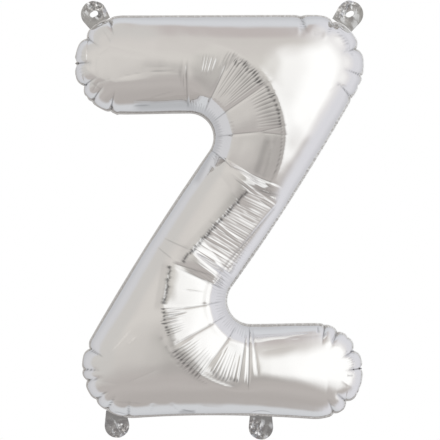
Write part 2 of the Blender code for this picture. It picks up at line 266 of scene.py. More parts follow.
@dataclass(frozen=True)
class Letter:
    """The letter's edge: four round corners, two hollow crooks and the pinches between lobes."""

    left_end: Point = (-0.0843, -0.0441)
    left_end_radius: float = 0.0426
    upper_corner: Point = (0.0791, -0.0441)
    upper_corner_radius: float = 0.0430
    lower_corner: Point = (-0.0765, -0.3038)
    lower_corner_radius: float = 0.0439
    right_end: Point = (0.0800, -0.3073)
    right_end_radius: float = 0.0413
    upper_crook: Point = (-0.0280, -0.1065)
    upper_crook_radius: float = 0.0206
    lower_crook: Point = (0.0249, -0.2466)
    lower_crook_radius: float = 0.0202
    diagonal_right_top: float = -29.8
    diagonal_right_foot: float = 144.0
    diagonal_left_top: float = -35.0
    diagonal_left_foot: float = 150.5
    bottom_edge_start: float = 274.0
    bottom_edge_end: float = 266.0

    def nicks(self) -> list[Nick]:
        """Places the pinches of the edge by their bearings about the corners.

        Returns:
            The pinches round all four corners.
        """
        corners = (
            (self.left_end, self.left_end_radius, LEFT_END_NICKS),
            (self.upper_corner, self.upper_corner_radius, UPPER_CORNER_NICKS),
            (self.lower_corner, self.lower_corner_radius, LOWER_CORNER_NICKS),
            (self.right_end, self.right_end_radius, RIGHT_END_NICKS),
        )
        return [
            Nick(beside(centre, bearing, radius), depth, reach)
            for centre, radius, rows in corners
            for bearing, depth, reach in rows
        ]

    def upper_rail(self) -> Rail:
        """Over the top arm, round the upper corner, down the diagonal and along the bottom arm.

        Returns:
            The rail on the letter's upper and right side.
        """
        return Rail(
            (
                Arc(self.left_end, self.left_end_radius, 180, 90),
                Arc(self.upper_corner, self.upper_corner_radius, 90, self.diagonal_right_top),
                Arc(self.lower_crook, self.lower_crook_radius, self.diagonal_right_foot, 270, -1.0),
                Arc(self.right_end, self.right_end_radius, 90, 0),
            ),
            self.nicks(),
        )

    def lower_rail(self) -> Rail:
        """Under the top arm, round the upper crook, down the diagonal and along the bottom edge.

        Returns:
            The rail on the letter's lower and left side.
        """
        corner_start, corner_end = self.diagonal_left_foot, self.bottom_edge_start
        return Rail(
            (
                Arc(self.left_end, self.left_end_radius, 180, 270),
                Arc(self.upper_crook, self.upper_crook_radius, 90, self.diagonal_left_top, -1.0),
                Arc(self.lower_corner, self.lower_corner_radius, corner_start, corner_end),
                Arc(self.right_end, self.right_end_radius, self.bottom_edge_end, 360),
            ),
            self.nicks(),
        )


@dataclass
class Lattice:
    """A grid over the letter: rungs from the lower rail to the upper one, from the left end to the right."""

    letter: Letter
    end_rungs: int = 85
    arm_rungs: int = 60
    fan_rungs: int = 250
    shank_rungs: int = 230
    columns: int = 96
    upper: Rail = field(init=False)
    lower: Rail = field(init=False)
    upper_places: np.ndarray = field(init=False)
    lower_places: np.ndarray = field(init=False)

    def __post_init__(self) -> None:
        """Lays the rungs out from the left end's tip to the right end's tip."""
        letter = self.letter
        self.upper, self.lower = letter.upper_rail(), letter.lower_rail()
        up_end, _, _, right_run, low_crook, _, up_tip = self.upper.spans
        low_end, _, up_crook, left_run, _, foot_run, low_tip = self.lower.spans
        first_outer, first_inner = self.fan(
            self.upper, self.lower, (up_end[1], right_run[1]), up_crook, letter.upper_crook
        )
        second_outer, second_inner = self.fan(
            self.lower, self.upper, (left_run[0], foot_run[1]), low_crook, letter.lower_crook
        )
        shank_top = self.upper.place_of(
            right_run, self.upper.bearing(letter.upper_crook), np.array(letter.diagonal_left_top)
        )
        arm_start = self.lower.place_of(foot_run, self.lower.points[:, 0], np.array(letter.lower_crook[0]))
        self.upper_places = np.concatenate(
            [
                evenly(*up_end, self.end_rungs),
                evenly(up_end[1], first_outer[0], self.arm_rungs),
                first_outer,
                evenly(float(shank_top), low_crook[0], self.shank_rungs),
                second_inner,
                evenly(low_crook[1], up_tip[0], self.arm_rungs),
                evenly(*up_tip, self.end_rungs),
                [len(self.upper.points) - 1],
            ]
        )
        self.lower_places = np.concatenate(
            [
                evenly(*low_end, self.end_rungs),
                evenly(low_end[1], up_crook[0], self.arm_rungs),
                first_inner,
                evenly(up_crook[1], second_outer[0], self.shank_rungs),
                second_outer,
                evenly(float(arm_start), low_tip[0], self.arm_rungs),
                evenly(*low_tip, self.end_rungs),
                [len(self.lower.points) - 1],
            ]
        )

    def fan(
        self, outer: Rail, inner: Rail, stretch: tuple[int, int], crook: tuple[int, int], centre: Point
    ) -> tuple[np.ndarray, np.ndarray]:
        """Places of the rungs that spread from a crook to the corner facing it, at even bearings.

        Args:
            outer: The rail that carries the corner.
            inner: The rail that carries the crook.
            stretch: Where on the outer rail the fan may start, and where it ends at the latest.
            crook: The crook's span on the inner rail.
            centre: The crook's centre.

        Returns:
            Places on the outer rail and on the inner one.
        """
        outer_ways, inner_ways = outer.bearing(centre), inner.bearing(centre)
        ways = evenly(inner_ways[crook[0]], inner_ways[crook[1]], self.fan_rungs)
        middle = (stretch[0] + stretch[1]) // 2
        outer_ways = outer_ways + 360.0 * np.round((ways.mean() - outer_ways[middle]) / 360.0)
        return outer.place_of(stretch, outer_ways, ways), inner.place_of(crook, inner_ways, ways)

    def share(self) -> np.ndarray:
        """How far across a rung each column lies, even in angle about a round section."""
        return (1.0 - np.cos(np.linspace(0.0, math.pi, self.columns + 1))) / 2

    def grid(self, inset: float) -> np.ndarray:
        """The grid's points on the seam plane: each rung's foot plus a share of its way to the top.

        Args:
            inset: How far in from the letter's edge the grid ends.

        Returns:
            Points as rungs by columns by x and z; the first and the last rung are single points.
        """
        top, foot = self.upper.at(self.upper_places, inset), self.lower.at(self.lower_places, inset)
        top[0] = foot[0] = (top[0] + foot[0]) / 2
        top[-1] = foot[-1] = (top[-1] + foot[-1]) / 2
        return foot[:, None, :] + (top - foot)[:, None, :] * self.share()[None, :, None]

    def edge_lengths(self) -> np.ndarray:
        """Measures the grid along the letter's edge.

        Returns:
            For each grid point, the length along the rail that it is nearer to.
        """
        up = self.upper.length_at(self.upper_places)[:, None]
        low = self.lower.length_at(self.lower_places)[:, None]
        return np.where(self.share()[None, :] > 0.5, up, low)


# The swelling


class Membrane:
    """An evenly loaded membrane held at the grid's border, solved rung by rung."""

    CORNERS = (
        ((0, 0), (1, 0), (1, 1)),
        ((0, 0), (1, 1), (0, 1)),
        ((0, 0), (1, 0), (0, 1)),
        ((1, 0), (1, 1), (0, 1)),
    )
    LEAST_AREA = 1e-14

    def __init__(self, grid: np.ndarray) -> None:
        """Gathers how strongly neighbouring grid points pull on each other.

        Args:
            grid: Points on the plane, rows by columns by two.
        """
        rows, columns = grid.shape[:2]
        self.shape = (rows, columns)
        self.pull = {step: np.zeros((rows, columns)) for step in ((0, 1), (1, 0), (1, 1), (1, -1))}
        self.load = np.zeros((rows, columns))
        for corners in self.CORNERS:
            self.add_cells(grid, corners)

    def add_cells(self, grid: np.ndarray, corners: Sequence[tuple[int, int]]) -> None:
        """Adds one triangle of every cell, at half weight since each cell is split both ways.

        The pull along an edge is the dot product of the two edges facing it over eight times the
        area, and a third of the area loads each corner.

        Args:
            grid: Points on the plane, rows by columns by two.
            corners: The triangle's corners, as steps of row and column within a cell.
        """
        rows, columns = self.shape
        cut = [slice(a, rows - 1 + a) for a in (0, 1)], [slice(b, columns - 1 + b) for b in (0, 1)]
        points = [grid[cut[0][a], cut[1][b]] for a, b in corners]
        edges = [points[(k + 2) % 3] - points[(k + 1) % 3] for k in range(3)]
        area = 0.5 * np.abs(edges[0][..., 0] * edges[1][..., 1] - edges[0][..., 1] * edges[1][..., 0])
        sound = area > self.LEAST_AREA
        area = np.where(sound, area, 1.0)
        for k in range(3):
            a, b = corners[k]
            self.load[cut[0][a], cut[1][b]] += np.where(sound, area / 6, 0.0)
            (c, d), (e, f) = sorted((corners[k], corners[(k + 1) % 3]))
            facing = (edges[k] * edges[(k + 1) % 3]).sum(axis=-1)
            self.pull[(e - c, f - d)][cut[0][c], cut[1][d]] += np.where(sound, facing / (8 * area), 0.0)

    def sag(self) -> np.ndarray:
        """Solves for the rest of the membrane, eliminating one rung after another and then going back.

        Returns:
            How far each grid point gives way under the load.
        """
        rows, columns = self.shape
        inner = columns - 2
        pull = {step: np.zeros((rows + 2, columns + 2)) for step in self.pull}
        for step, values in self.pull.items():
            pull[step][1:-1, 1:-1] = values
        whole = np.zeros((rows, columns))
        for (a, b), values in pull.items():
            whole -= values[1:-1, 1:-1] + values[1 - a : rows + 1 - a, 1 - b : columns + 1 - b]
        sag = np.zeros((rows, columns))
        solved: list[tuple[np.ndarray, np.ndarray]] = []
        spread, carried = np.zeros((inner, inner)), np.zeros(inner)
        for i in range(1, rows - 1):
            own = np.diag(whole[i, 1:-1])
            own += np.diag(self.pull[(0, 1)][i, 1:-2], 1) + np.diag(self.pull[(0, 1)][i, 1:-2], -1)
            link = np.diag(self.pull[(1, 0)][i, 1:-1])
            link += np.diag(self.pull[(1, 1)][i, 1:-2], 1) + np.diag(self.pull[(1, -1)][i, 2:-1], -1)
            both = np.linalg.solve(own - spread, np.column_stack([link, self.load[i, 1:-1] - carried]))
            solved.append((both[:, :-1], both[:, -1]))
            spread, carried = link.T @ both[:, :-1], link.T @ both[:, -1]
        after = np.zeros(inner)
        for i in range(rows - 2, 0, -1):
            way, still = solved[i - 1]
            after = still - way @ after
            sag[i, 1:-1] = after
        return sag


@dataclass(frozen=True)
class Swelling:
    """How far the film stands off the seam plane: a half circle over an arm, flatter where it is wide."""

    arm_crown: float = 0.0400
    wide_share: float = 0.55
    easing: float = 0.0025

    def heights(self, grid: np.ndarray) -> np.ndarray:
        """Heights over the grid: the root of twice the sag, less a share of what is above the arm's crown.

        Args:
            grid: Points on the plane, rows by columns by two.

        Returns:
            The film's height over each of them.
        """
        height = np.sqrt(2 * np.clip(Membrane(grid).sag(), 0.0, None))
        over = np.logaddexp(0.0, (height - self.arm_crown) / self.easing) * self.easing
        return height - (1.0 - self.wide_share) * over


class Stretch(Protocol):
    """Anything that holds the film back from its full swelling over some of the rungs."""

    def pull(self, grid: np.ndarray, height: np.ndarray, spread: np.ndarray) -> np.ndarray:
        """The new heights, from the grid, the heights and how far across a rung each column lies."""


@dataclass(frozen=True)
class Taper:
    """An arm that thins towards its end, from one x to another."""

    rungs: tuple[int, int]
    start: float
    end: float
    loss: float
    early: float = 0.6

    def pull(self, grid: np.ndarray, height: np.ndarray, spread: np.ndarray) -> np.ndarray:
        """Thins the arm: the height less the loss times a share that grows towards the arm's end.

        Args:
            grid: The grid's points on the seam plane.
            height: The film's height over each of them.
            spread: How far across a rung each column lies; not used, as a taper is the same across its rungs.

        Returns:
            The new heights.
        """
        middle = (grid[:, 0, 0] + grid[:, -1, 0]) / 2
        share = np.clip((middle - self.start) / (self.end - self.start), 0.0, 1.0)
        share = share * (self.early + (1.0 - self.early) * share)
        row = np.arange(len(height))
        within = (row >= self.rungs[0]) & (row < self.rungs[1])
        return height * (1.0 - self.loss * share * within)[:, None]


@dataclass(frozen=True)
class Taut:
    """Film that gathers pull straight across the rungs, between two distances from one rail.

    Attributes:
        rungs: The first and the last rung.
        ease: Over how many rungs the pull comes in and goes out.
        near: The near distance from the rail, at the first rung and at the last.
        far: The far distance, in the same way.
        share: How much of the way to the straight line the film goes.
        from_upper: Whether the distances are from the upper rail.
        sink: How far below the film the line's far end lies, at the first rung and at the last.
        belly: How far the line bows out in its middle.
        soft: The share of the way over which the pull comes in, or 0 for a sharp start.
    """

    rungs: Span
    ease: Span
    near: Span
    far: Span
    share: float
    from_upper: bool = False
    sink: Span = (0.0, 0.0)
    belly: float = 0.0
    soft: float = 0.0

    LONGEST = 0.95

    def pull(self, grid: np.ndarray, height: np.ndarray, spread: np.ndarray) -> np.ndarray:
        """Draws the film towards a straight line between the limits, and lowers what lies beyond to match.

        Args:
            grid: The grid's points on the seam plane.
            height: The film's height over each of them.
            spread: How far across a rung each column lies.

        Returns:
            The new heights.
        """
        row = np.arange(len(height))
        length = np.linalg.norm(grid[:, -1] - grid[:, 0], axis=1)
        away = length[:, None] * (1.0 - spread if self.from_upper else spread)[None, :]
        limits = []
        for pair in (self.near, self.far):
            reach = np.minimum(np.interp(row, self.rungs, pair), self.LONGEST * length)
            part = reach / np.maximum(length, 1e-9)
            part = 1.0 - part if self.from_upper else part
            column = np.arccos(1.0 - 2.0 * part) / math.pi * (len(spread) - 1)
            before = np.clip(column.astype(int), 0, len(spread) - 2)
            over = column - before
            limits += [reach, height[row, before] * (1.0 - over) + height[row, before + 1] * over]
        near, near_height, far, far_height = limits
        along = np.clip((away - near[:, None]) / np.maximum(far - near, TINY)[:, None], 0.0, 1.0)
        low = np.maximum(far_height - np.interp(row, self.rungs, self.sink), 0.0)
        line = near_height[:, None] * (1.0 - along) + low[:, None] * along
        line = line + self.belly * 4 * along * (1 - along)
        eased = smooth(along / self.soft) if self.soft > 0 else 1.0
        within = np.where(along > 0.0, height + (line - height) * self.share * eased, height)
        beyond = height * (low / np.maximum(far_height, TINY) * self.share + 1.0 - self.share)[:, None]
        pulled = np.where(along >= 1.0, beyond, within)
        window = smooth((row - self.rungs[0]) / self.ease[0]) * smooth((self.rungs[1] - row) / self.ease[1])
        return height + (pulled - height) * window[:, None]


@dataclass(frozen=True)
class Tension:
    """Where the film is held back: two arms that taper, and what gathers pull straight."""

    lattice: Lattice

    def stretches(self) -> tuple[Stretch, ...]:
        """The tapers of both arms, and the taut film at both crooks, down the shank and at the left end.

        Returns:
            The stretches, in the order in which they act.
        """
        lattice = self.lattice
        first = lattice.end_rungs + lattice.arm_rungs
        shank = first + lattice.fan_rungs
        second = shank + lattice.shank_rungs
        after = second + lattice.fan_rungs
        return (
            Taper((0, first), -0.0280, -0.0900, 0.05),
            Taper((after, len(lattice.upper_places)), 0.0235, 0.0900, 0.14),
            Taut((first - 5, shank + 2), (60.0, 10.0), (0.0150, 0.0150), (0.0585, 0.0585), share=0.75),
            Taut((first - 5, shank + 40), (60.0, 60.0), (0.0005, 0.0005), (0.0150, 0.0150), share=0.62),
            Taut(
                (shank - 8, second - 8), (22.0, 15.0), (0.0465, 0.0330), (0.0715, 0.0625), share=0.82,
                sink=(0.0020, 0.0105),
            ),
            Taut(
                (second, after + 20), (20.0, 55.0), (0.0130, 0.0130), (0.0540, 0.0540), share=0.72,
                from_upper=True, belly=0.0012, soft=0.16,
            ),
            Taut(
                (second - 40, after + 20), (60.0, 60.0), (0.0005, 0.0005), (0.0130, 0.0130), share=0.55,
                from_upper=True,
            ),
            Taut(
                (24, 118), (45.0, 26.0), (0.0206, 0.0275), (0.0516, 0.0380), share=0.85,
                sink=(0.0052, 0.0022),
            ),
        )


# Creases and gathers


class Mark(Protocol):
    """Anything that pushes the film in or out over part of the letter, and may paint shade or highlight on it
    there.
    """

    def press(self, points: np.ndarray) -> tuple[np.ndarray, np.ndarray]:
        """How far each of the places moves outwards, and how much painted shade it gets."""


def against(points: np.ndarray, start: Point, end: Point) -> tuple[np.ndarray, np.ndarray, float]:
    """Measures places against a line, by the dot and the cross product with its way.

    Args:
        points: Places as x and z.
        start: Where the line starts.
        end: Where it ends.

    Returns:
        The share of the line at which each place lies, its distance to the left, and the line's length.
    """
    way = np.array(end) - np.array(start)
    length = float(np.hypot(*way))
    away = points - np.array(start)
    across = (way[0] * away[..., 1] - way[1] * away[..., 0]) / length
    return (away @ way) / length**2, across, length


def polar(points: np.ndarray, centre: Point, middle: float) -> tuple[np.ndarray, np.ndarray]:
    """Measures places round a centre.

    Args:
        points: Places as x and z.
        centre: What they are measured from.
        middle: A bearing; all bearings come out within half a turn of it.

    Returns:
        Bearings in degrees, and distances.
    """
    away = points - np.array(centre)
    bearing = np.degrees(np.arctan2(away[..., 1], away[..., 0]))
    return middle + (bearing - middle + 180.0) % 360.0 - 180.0, np.hypot(away[..., 0], away[..., 1])


@dataclass(frozen=True)
class Fold:
    """A sharp crease along a line: a valley, or a ridge where its depth is below zero, with painted shade
    along its line, and a painted highlight where dark is below zero.
    """

    start: Point
    end: Point
    depth: float
    width: float = 0.0009
    bend: float = 0.0
    fade: Span = (0.12, 0.35)
    dark: float = 0.35

    BLUNT_SHARE = 0.2

    def press(self, points: np.ndarray) -> tuple[np.ndarray, np.ndarray]:
        """The depth, falling off with the distance to either side of the line, whose middle may bow out.

        Args:
            points: Places as x and z.

        Returns:
            How far each place moves outwards, and how much painted shade it gets.
        """
        along, across, _ = against(points, self.start, self.end)
        across = across - self.bend * 4 * along * (1 - along)
        window = between(along, *self.fade)
        blunt = self.BLUNT_SHARE * self.width
        shape = np.exp(-(np.sqrt(across**2 + blunt**2) - blunt) / self.width)
        # The second part is painted shade along the crease's line, a painted highlight where dark is below
        # zero.
        return -self.depth * window * shape, self.dark * window * np.exp(-((across / LINE_WIDTH) ** 2))


@dataclass(frozen=True)
class Pillows:
    """Swollen stretches side by side round a centre, with a sharp valley at each bearing."""

    centre: Point
    bearings: tuple[float, ...]
    radii: tuple[float, float, float, float]
    depth: float

    def press(self, points: np.ndarray) -> tuple[np.ndarray, np.ndarray]:
        """A parabola from one bearing to the next, between the first radius and the last.

        Args:
            points: Places as x and z.

        Returns:
            How far each place moves outwards, and no darkening.
        """
        marks = np.array(sorted(self.bearings))
        bearing, radius = polar(points, self.centre, float(marks.mean()))
        place = np.interp(bearing, marks, np.arange(len(marks)), left=0.0, right=len(marks) - 1.0)
        part = place - np.floor(place)
        rise, full, fall, gone = self.radii
        window = smooth((radius - rise) / (full - rise)) * smooth((gone - radius) / (gone - fall))
        return self.depth * 4 * part * (1 - part) * window, np.zeros(radius.shape)


@dataclass(frozen=True)
class Ring:
    """A crease that runs round a centre, steep on its near side and gentle on its far side, with painted
    shade along its line.
    """

    centre: Point
    radius: float
    bearings: Span
    depth: float
    near: float = 0.0060
    far: float = 0.0020
    dark: float = 0.15
    drift: float = 0.0

    END_SHARE = 0.12

    def press(self, points: np.ndarray) -> tuple[np.ndarray, np.ndarray]:
        """The depth, falling off with the distance inside and outside a radius that drifts along the ring.

        Args:
            points: Places as x and z.

        Returns:
            How far each place moves outwards, and how much painted shade it gets.
        """
        low, high = sorted(self.bearings)
        bearing, radius = polar(points, self.centre, (low + high) / 2)
        share = (bearing - low) / (high - low)
        beyond = radius - self.radius - self.drift * (share - 0.5)
        window = between(share, self.END_SHARE, self.END_SHARE)
        shape = np.exp(-np.abs(beyond) / np.where(beyond < 0, self.near, self.far))
        return -self.depth * window * shape, self.dark * window * np.exp(-((beyond / LINE_WIDTH) ** 2))


@dataclass(frozen=True)
class Gathers:
    """Small crimps side by side, fanned about a centre or, with a far centre, nearly parallel, with painted
    shade along their lines and at their tips.

    Attributes:
        centre: What the crimps spread from.
        bearings: The first bearing and the last.
        radii: Where the crimps start and stop.
        count: How many there are.
        depth: How high the film stands between two of their lines.
        ragged: How unevenly they start, as a share of their length.
        seed: What their unevenness is drawn from.
        dark: How much painted shade their lines get.
        tips: How much painted shade the spots at their far ends get.
    """

    centre: Point
    bearings: Span
    radii: Span
    count: int
    depth: float
    ragged: float = 0.25
    seed: int = 1
    dark: float = 0.25
    tips: float = 0.0

    WIDTHS = (0.7, 1.3)
    STRENGTHS = (0.6, 1.15)
    STOP_SHARE = 0.35
    END_SHARE = 0.25
    LINE_SHARE = 0.7
    LINE_START = 0.35
    LINE_RISE = (0.3, 0.5)
    TIP_RISE = (0.83, 0.06)
    TIP_FALL = (1.00, 0.05)
    TIP_SIDE = (0.38, 0.20)

    def press(self, points: np.ndarray) -> tuple[np.ndarray, np.ndarray]:
        """A parabola across each crimp between two painted shade lines, with a painted shade spot towards its
        far end.

        Args:
            points: Places as x and z.

        Returns:
            How far each place moves outwards, and how much painted shade it gets.
        """
        low, high = sorted(self.bearings)
        bearing, radius = polar(points, self.centre, (low + high) / 2)
        random = np.random.default_rng(self.seed)
        uneven = np.concatenate([[0.0], np.cumsum(random.uniform(*self.WIDTHS, self.count))])
        marks = low + (high - low) * uneven / uneven[-1]
        strength = random.uniform(*self.STRENGTHS, self.count)
        frayed = self.ragged * (self.radii[1] - self.radii[0])
        starts = self.radii[0] + frayed * random.uniform(0, 1, self.count)
        stops = self.radii[1] - self.STOP_SHARE * frayed * random.uniform(0, 1, self.count)
        place = np.interp(bearing, marks, np.arange(self.count + 1.0), left=0.0, right=float(self.count))
        which = np.clip(np.floor(place), 0, self.count - 1).astype(int)
        part = np.clip(place - which, 0.0, 1.0)
        along = (radius - starts[which]) / (stops[which] - starts[which])
        window = between(along, self.END_SHARE, self.END_SHARE)
        from_line = np.minimum(part, 1 - part)
        pitch = np.radians(np.diff(marks)[which]) * radius
        line = np.exp(-((from_line * pitch / (self.LINE_SHARE * LINE_WIDTH)) ** 2))
        grown = smooth((along - self.LINE_RISE[0]) / self.LINE_RISE[1])
        line = line * (self.LINE_START + (1 - self.LINE_START) * grown)
        tip = smooth((along - self.TIP_RISE[0]) / self.TIP_RISE[1])
        tip = tip * smooth((self.TIP_FALL[0] - along) / self.TIP_FALL[1])
        tip = tip * smooth((self.TIP_SIDE[0] - from_line) / self.TIP_SIDE[1])
        inside = (place > 0) & (place < self.count)
        shade = (self.dark * line * window + self.tips * strength[which] * tip) * inside
        return self.depth * strength[which] * 4 * part * (1 - part) * window, shade


@dataclass(frozen=True)
class Stitches:
    """A row of short dimples with painted shade, where crimps end at a line."""

    start: Point
    end: Point
    count: int
    reach: float
    depth: float
    dark: float
    seed: int

    STRENGTHS = (0.35, 1.0)
    THREAD_DARK = 0.85
    THREAD_SHARE = 0.45
    SPOT_SLOPE = (1.9, 3.2)

    def press(self, points: np.ndarray) -> tuple[np.ndarray, np.ndarray]:
        """A painted shade thread along the row, and painted shade spots on it, each a bell curve across the
        line and uneven in place.

        Args:
            points: Places as x and z.

        Returns:
            How far each place moves outwards, and how much painted shade it gets.
        """
        along, across, _ = against(points, self.start, self.end)
        random = np.random.default_rng(self.seed)
        strength = random.uniform(*self.STRENGTHS, self.count)
        offset = random.uniform(-0.5, 0.5, self.count) * self.reach
        which = np.clip(np.floor(along * self.count), 0, self.count - 1).astype(int)
        across = across - offset[which]
        part = along * self.count - which
        spot = strength[which] * np.exp(-((across / self.reach) ** 2))
        spot = spot * smooth(self.SPOT_SLOPE[0] - self.SPOT_SLOPE[1] * np.abs(part - 0.5))
        thread = self.THREAD_DARK * np.exp(-((across / (self.THREAD_SHARE * self.reach)) ** 2))
        seen = np.maximum(spot, thread) * (along > 0) * (along < 1)
        return -self.depth * seen, self.dark * seen


@dataclass(frozen=True)
class Ripple:
    """A faint unevenness all over the film, from many slow waves."""

    length: float
    depth: float
    seed: int
    waves: int = 14

    LENGTHS = (0.7, 1.6)

    def press(self, points: np.ndarray) -> tuple[np.ndarray, np.ndarray]:
        """The sum of sine waves, each with a way, a length and a phase of its own.

        Args:
            points: Places as x and z.

        Returns:
            How far each place moves outwards, and no darkening.
        """
        random = np.random.default_rng(self.seed)
        total = np.zeros(points.shape[:-1])
        for _ in range(self.waves):
            angle = random.uniform(0, 2 * math.pi)
            length = self.length * random.uniform(*self.LENGTHS)
            phase = random.uniform(0, 2 * math.pi)
            way = np.array([math.cos(angle), math.sin(angle)])
            total += np.sin(2 * math.pi / length * (points @ way) + phase)
        return self.depth * total / math.sqrt(self.waves), np.zeros(total.shape)


@dataclass(frozen=True)
class PaintedStrip:
    """A straight strip of painted shade along a line, or of painted highlight where dark is below zero."""

    start: Point
    end: Point
    half_width: float
    dark: float
    soft: float = 0.2

    def press(self, points: np.ndarray) -> tuple[np.ndarray, np.ndarray]:
        """The painted shade, eased out towards the half width and towards both ends of the line.

        Args:
            points: Places as x and z.

        Returns:
            No move, and how much painted shade the film gets at each place, a painted highlight where below
            zero.
        """
        share, across, length = against(points, self.start, self.end)
        along = share * length
        sides = smooth((self.half_width - np.abs(across)) / (self.soft * self.half_width))
        ends = smooth(np.minimum(along, length - along) / (2 * self.soft * self.half_width))
        return np.zeros(across.shape), self.dark * sides * ends


@dataclass(frozen=True)
class Shade:
    """A strip of painted shade that runs round a centre, out to a half width on either side of its radius."""

    centre: Point
    radius: float
    half_width: float
    bearings: Span
    dark: float

    END_SHARE = 0.12
    STEEPNESS = 1.5

    def press(self, points: np.ndarray) -> tuple[np.ndarray, np.ndarray]:
        """The painted shade, eased out towards the half width and towards both bearings.

        Args:
            points: Places as x and z.

        Returns:
            No move, and how much painted shade the film gets at each place.
        """
        low, high = sorted(self.bearings)
        bearing, radius = polar(points, self.centre, (low + high) / 2)
        window = between((bearing - low) / (high - low), self.END_SHARE, self.END_SHARE)
        across = np.abs(radius - self.radius) / self.half_width
        return np.zeros(across.shape), self.dark * window * smooth(self.STEEPNESS * (1 - across))


def about(centre: Point, bearing: float, reach: float) -> Point:
    """A place by its bearing and its distance in millimetres from a centre."""
    return beside(centre, bearing, reach / 1000)


# The single creases. A row gives a start, an end, a depth and a width, all in millimetres,
# and then the painted shade along the crease's line, a painted highlight where it is below zero.
Line = tuple[float, float, float, float, float, float, float]

SHANK_LINES = (
    (5.9, -136.0, 33.8, -158.0, -0.24, 0.8, 0), (9.3, -141.5, 30.4, -158.0, 0.21, 0.8, 0.35),
    (33.8, -158.0, 48.2, -167.3, -0.21, 0.8, 0), (30.4, -159.7, 45.6, -169.8, 0.15, 0.8, 0.3),
    (20.3, -141.9, 37.2, -149.5, 0.21, 1.4, 0.3), (38.9, -145.3, 51.6, -152.0, -0.27, 0.9, 0),
    (27.9, -152.0, 50.7, -157.1, 0.18, 1.2, 0.35), (16.0, -137.0, 42.0, -147.4, 0.24, 0.8, 0.4),
    (21.0, -137.6, 46.0, -150.3, -0.22, 0.7, 0), (22.5, -141.0, 47.0, -152.0, 0.24, 0.7, 0.45),
    (-11.0, -174.5, 17.4, -196.9, -0.21, 0.7, 0), (-12.7, -176.6, 15.2, -198.6, 0.15, 0.7, 0.25),
    (-16.1, -189.9, 12.7, -205.3, -0.24, 0.8, 0), (-16.9, -191.8, 10.1, -207.0, 0.15, 0.7, 0.3),
    (-13.6, -184.2, 15.2, -201.9, -0.15, 0.6, 0), (-22.0, -195.2, 5.0, -212.1, -0.18, 0.7, 0),
    (-48.2, -191.0, -22.0, -201.9, -0.35, 0.9, 0), (-22.0, -201.9, -0.5, -214.6, -0.3, 0.9, 0),
    (-49.9, -192.6, -23.7, -204.1, 0.3, 0.9, 0.3), (-23.7, -204.1, -2.6, -216.3, 0.27, 0.9, 0.5),
    (-55.0, -200.3, -40.6, -211.3, 0.35, 0.9, 0.25), (-40.6, -211.3, -32.2, -214.6, -0.45, 0.9, 0),
    (-43.2, -212.9, -5.1, -225.6, 0.55, 1, 0.35),
)
LEFT_END_LINES = (
    (-105.1, -39.0, -107.0, -55.6, -0.35, 1, 0), (-95.0, -79.0, -95.0, -84.1, 0.5, 0.7, 0.6),
    (-76.6, -80.4, -59.6, -79.5, 0.35, 1.2, 0.35), (-113.8, -62.8, -90.9, -56.0, 0.45, 2.5, 0.1),
    (-90.5, -56.5, -60.9, -51.4, 0.45, 3, 0.12), (-64.3, -51.4, -30.5, -52.7, 0.3, 0.9, 0.3),
    (-69.4, -47.2, -42.3, -48.0, 0.5, 3, 0.1), (-102.4, -27.7, -60.9, -40.4, 0.5, 2.2, 0.04),
    (-95.4, -31.0, -106.4, -37.8, 0.3, 2, 0.05), (-100.7, -68.2, -114.4, -57.9, 0.45, 1.2, 0.15),
    (-111.0, -68.2, -104.1, -57.9, 0.45, 1.4, 0.15), (-101.6, -15.2, -93.9, -27.2, 0.35, 1.2, 0.1),
    (-61.3, -73.5, -37.5, -67.6, 0.3, 2, 0.1),
)
UPPER_CORNER_LINES = (
    (67.0, -5.4, 67.7, -25.0, 0.4, 0.9, 0.3), (64.3, -7.1, 64.9, -22.5, -0.3, 0.8, 0),
    (69.8, -7.1, 70.3, -20.8, 0.25, 0.8, 0.2), (78.1, -14.4, 79.0, -24.6, 0.18, 0.7, 0.12),
    (81.1, -14.4, 82.1, -25.4, 0.18, 0.7, 0.12), (84.1, -15.2, 85.1, -24.6, 0.18, 0.7, 0.12),
    (95.0, -9.0, 85.1, -25.9, -0.7, 1.6, 0.05), (97.0, -64.2, 102.2, -60.8, 0.3, 0.8, 0.25),
    (95.9, -63.6, 88.3, -68.7, -0.2, 1, 0),
)
LOWER_CORNER_LINES = (
    (-112.7, -287.0, -100.0, -293.8, 0.45, 0.9, 0.25), (-112.1, -313.3, -82.4, -315.8, 0.15, 2.2, 0.05),
    (-82.1, -315.3, -48.2, -300.1, 0.15, 2.6, 0.08), (-94.8, -289.9, -74.9, -268.3, -0.16, 0.6, -0.14),
    (-79.5, -282.3, -71.5, -274.7, -0.16, 0.6, -0.14), (-88.0, -289.1, -73.6, -273.8, -0.1, 0.6, 0),
    (-58.2, -331.4, -60.8, -343.4, 0.5, 1.6, 0.12), (-35.9, -338.3, -21.4, -342.6, 0.6, 1, 0.5),
    (-37.6, -339.6, -44.4, -331.1, 0.35, 1.4, 0.15), (-20.5, -335.6, 6.8, -338.1, -0.35, 1.4, 0),
    (-94.0, -331.3, -61.6, -333.0, 0.35, 1.2, 0.1),
)
RIGHT_END_LINES = (
    (98.5, -273.0, 93.0, -281.6, 0.45, 1, 0.35), (82.2, -268.2, 82.2, -274.2, 0.5, 0.8, 0.5),
    (106.1, -310.1, 112.9, -310.1, 0.5, 0.8, 0.5), (97.5, -325.5, 105.2, -332.3, 0.5, 1, 0.4),
    (51.9, -278.7, 94.5, -274.5, 0.3, 1.6, 0.1), (30.5, -289.2, 66.0, -284.2, 0.25, 2, 0.05),
    (100.9, -312.5, 109.4, -319.3, -0.3, 1, 0), (88.6, -279.7, 104.0, -289.9, -0.35, 1.6, 0),
)


LINE_FADE = (0.25, 0.35)
LOBE_RADII = (0.55, 0.78, 0.95, 1.10)
PLEAT_ENDS = (1.02, 0.55)
PLEAT_DEPTH = 0.00130
PLEAT_WIDTH = 0.0012
PLEAT_FADE = (0.02, 0.8)
# The painted shade along each pleat's line.
PLEAT_DARK = 0.9


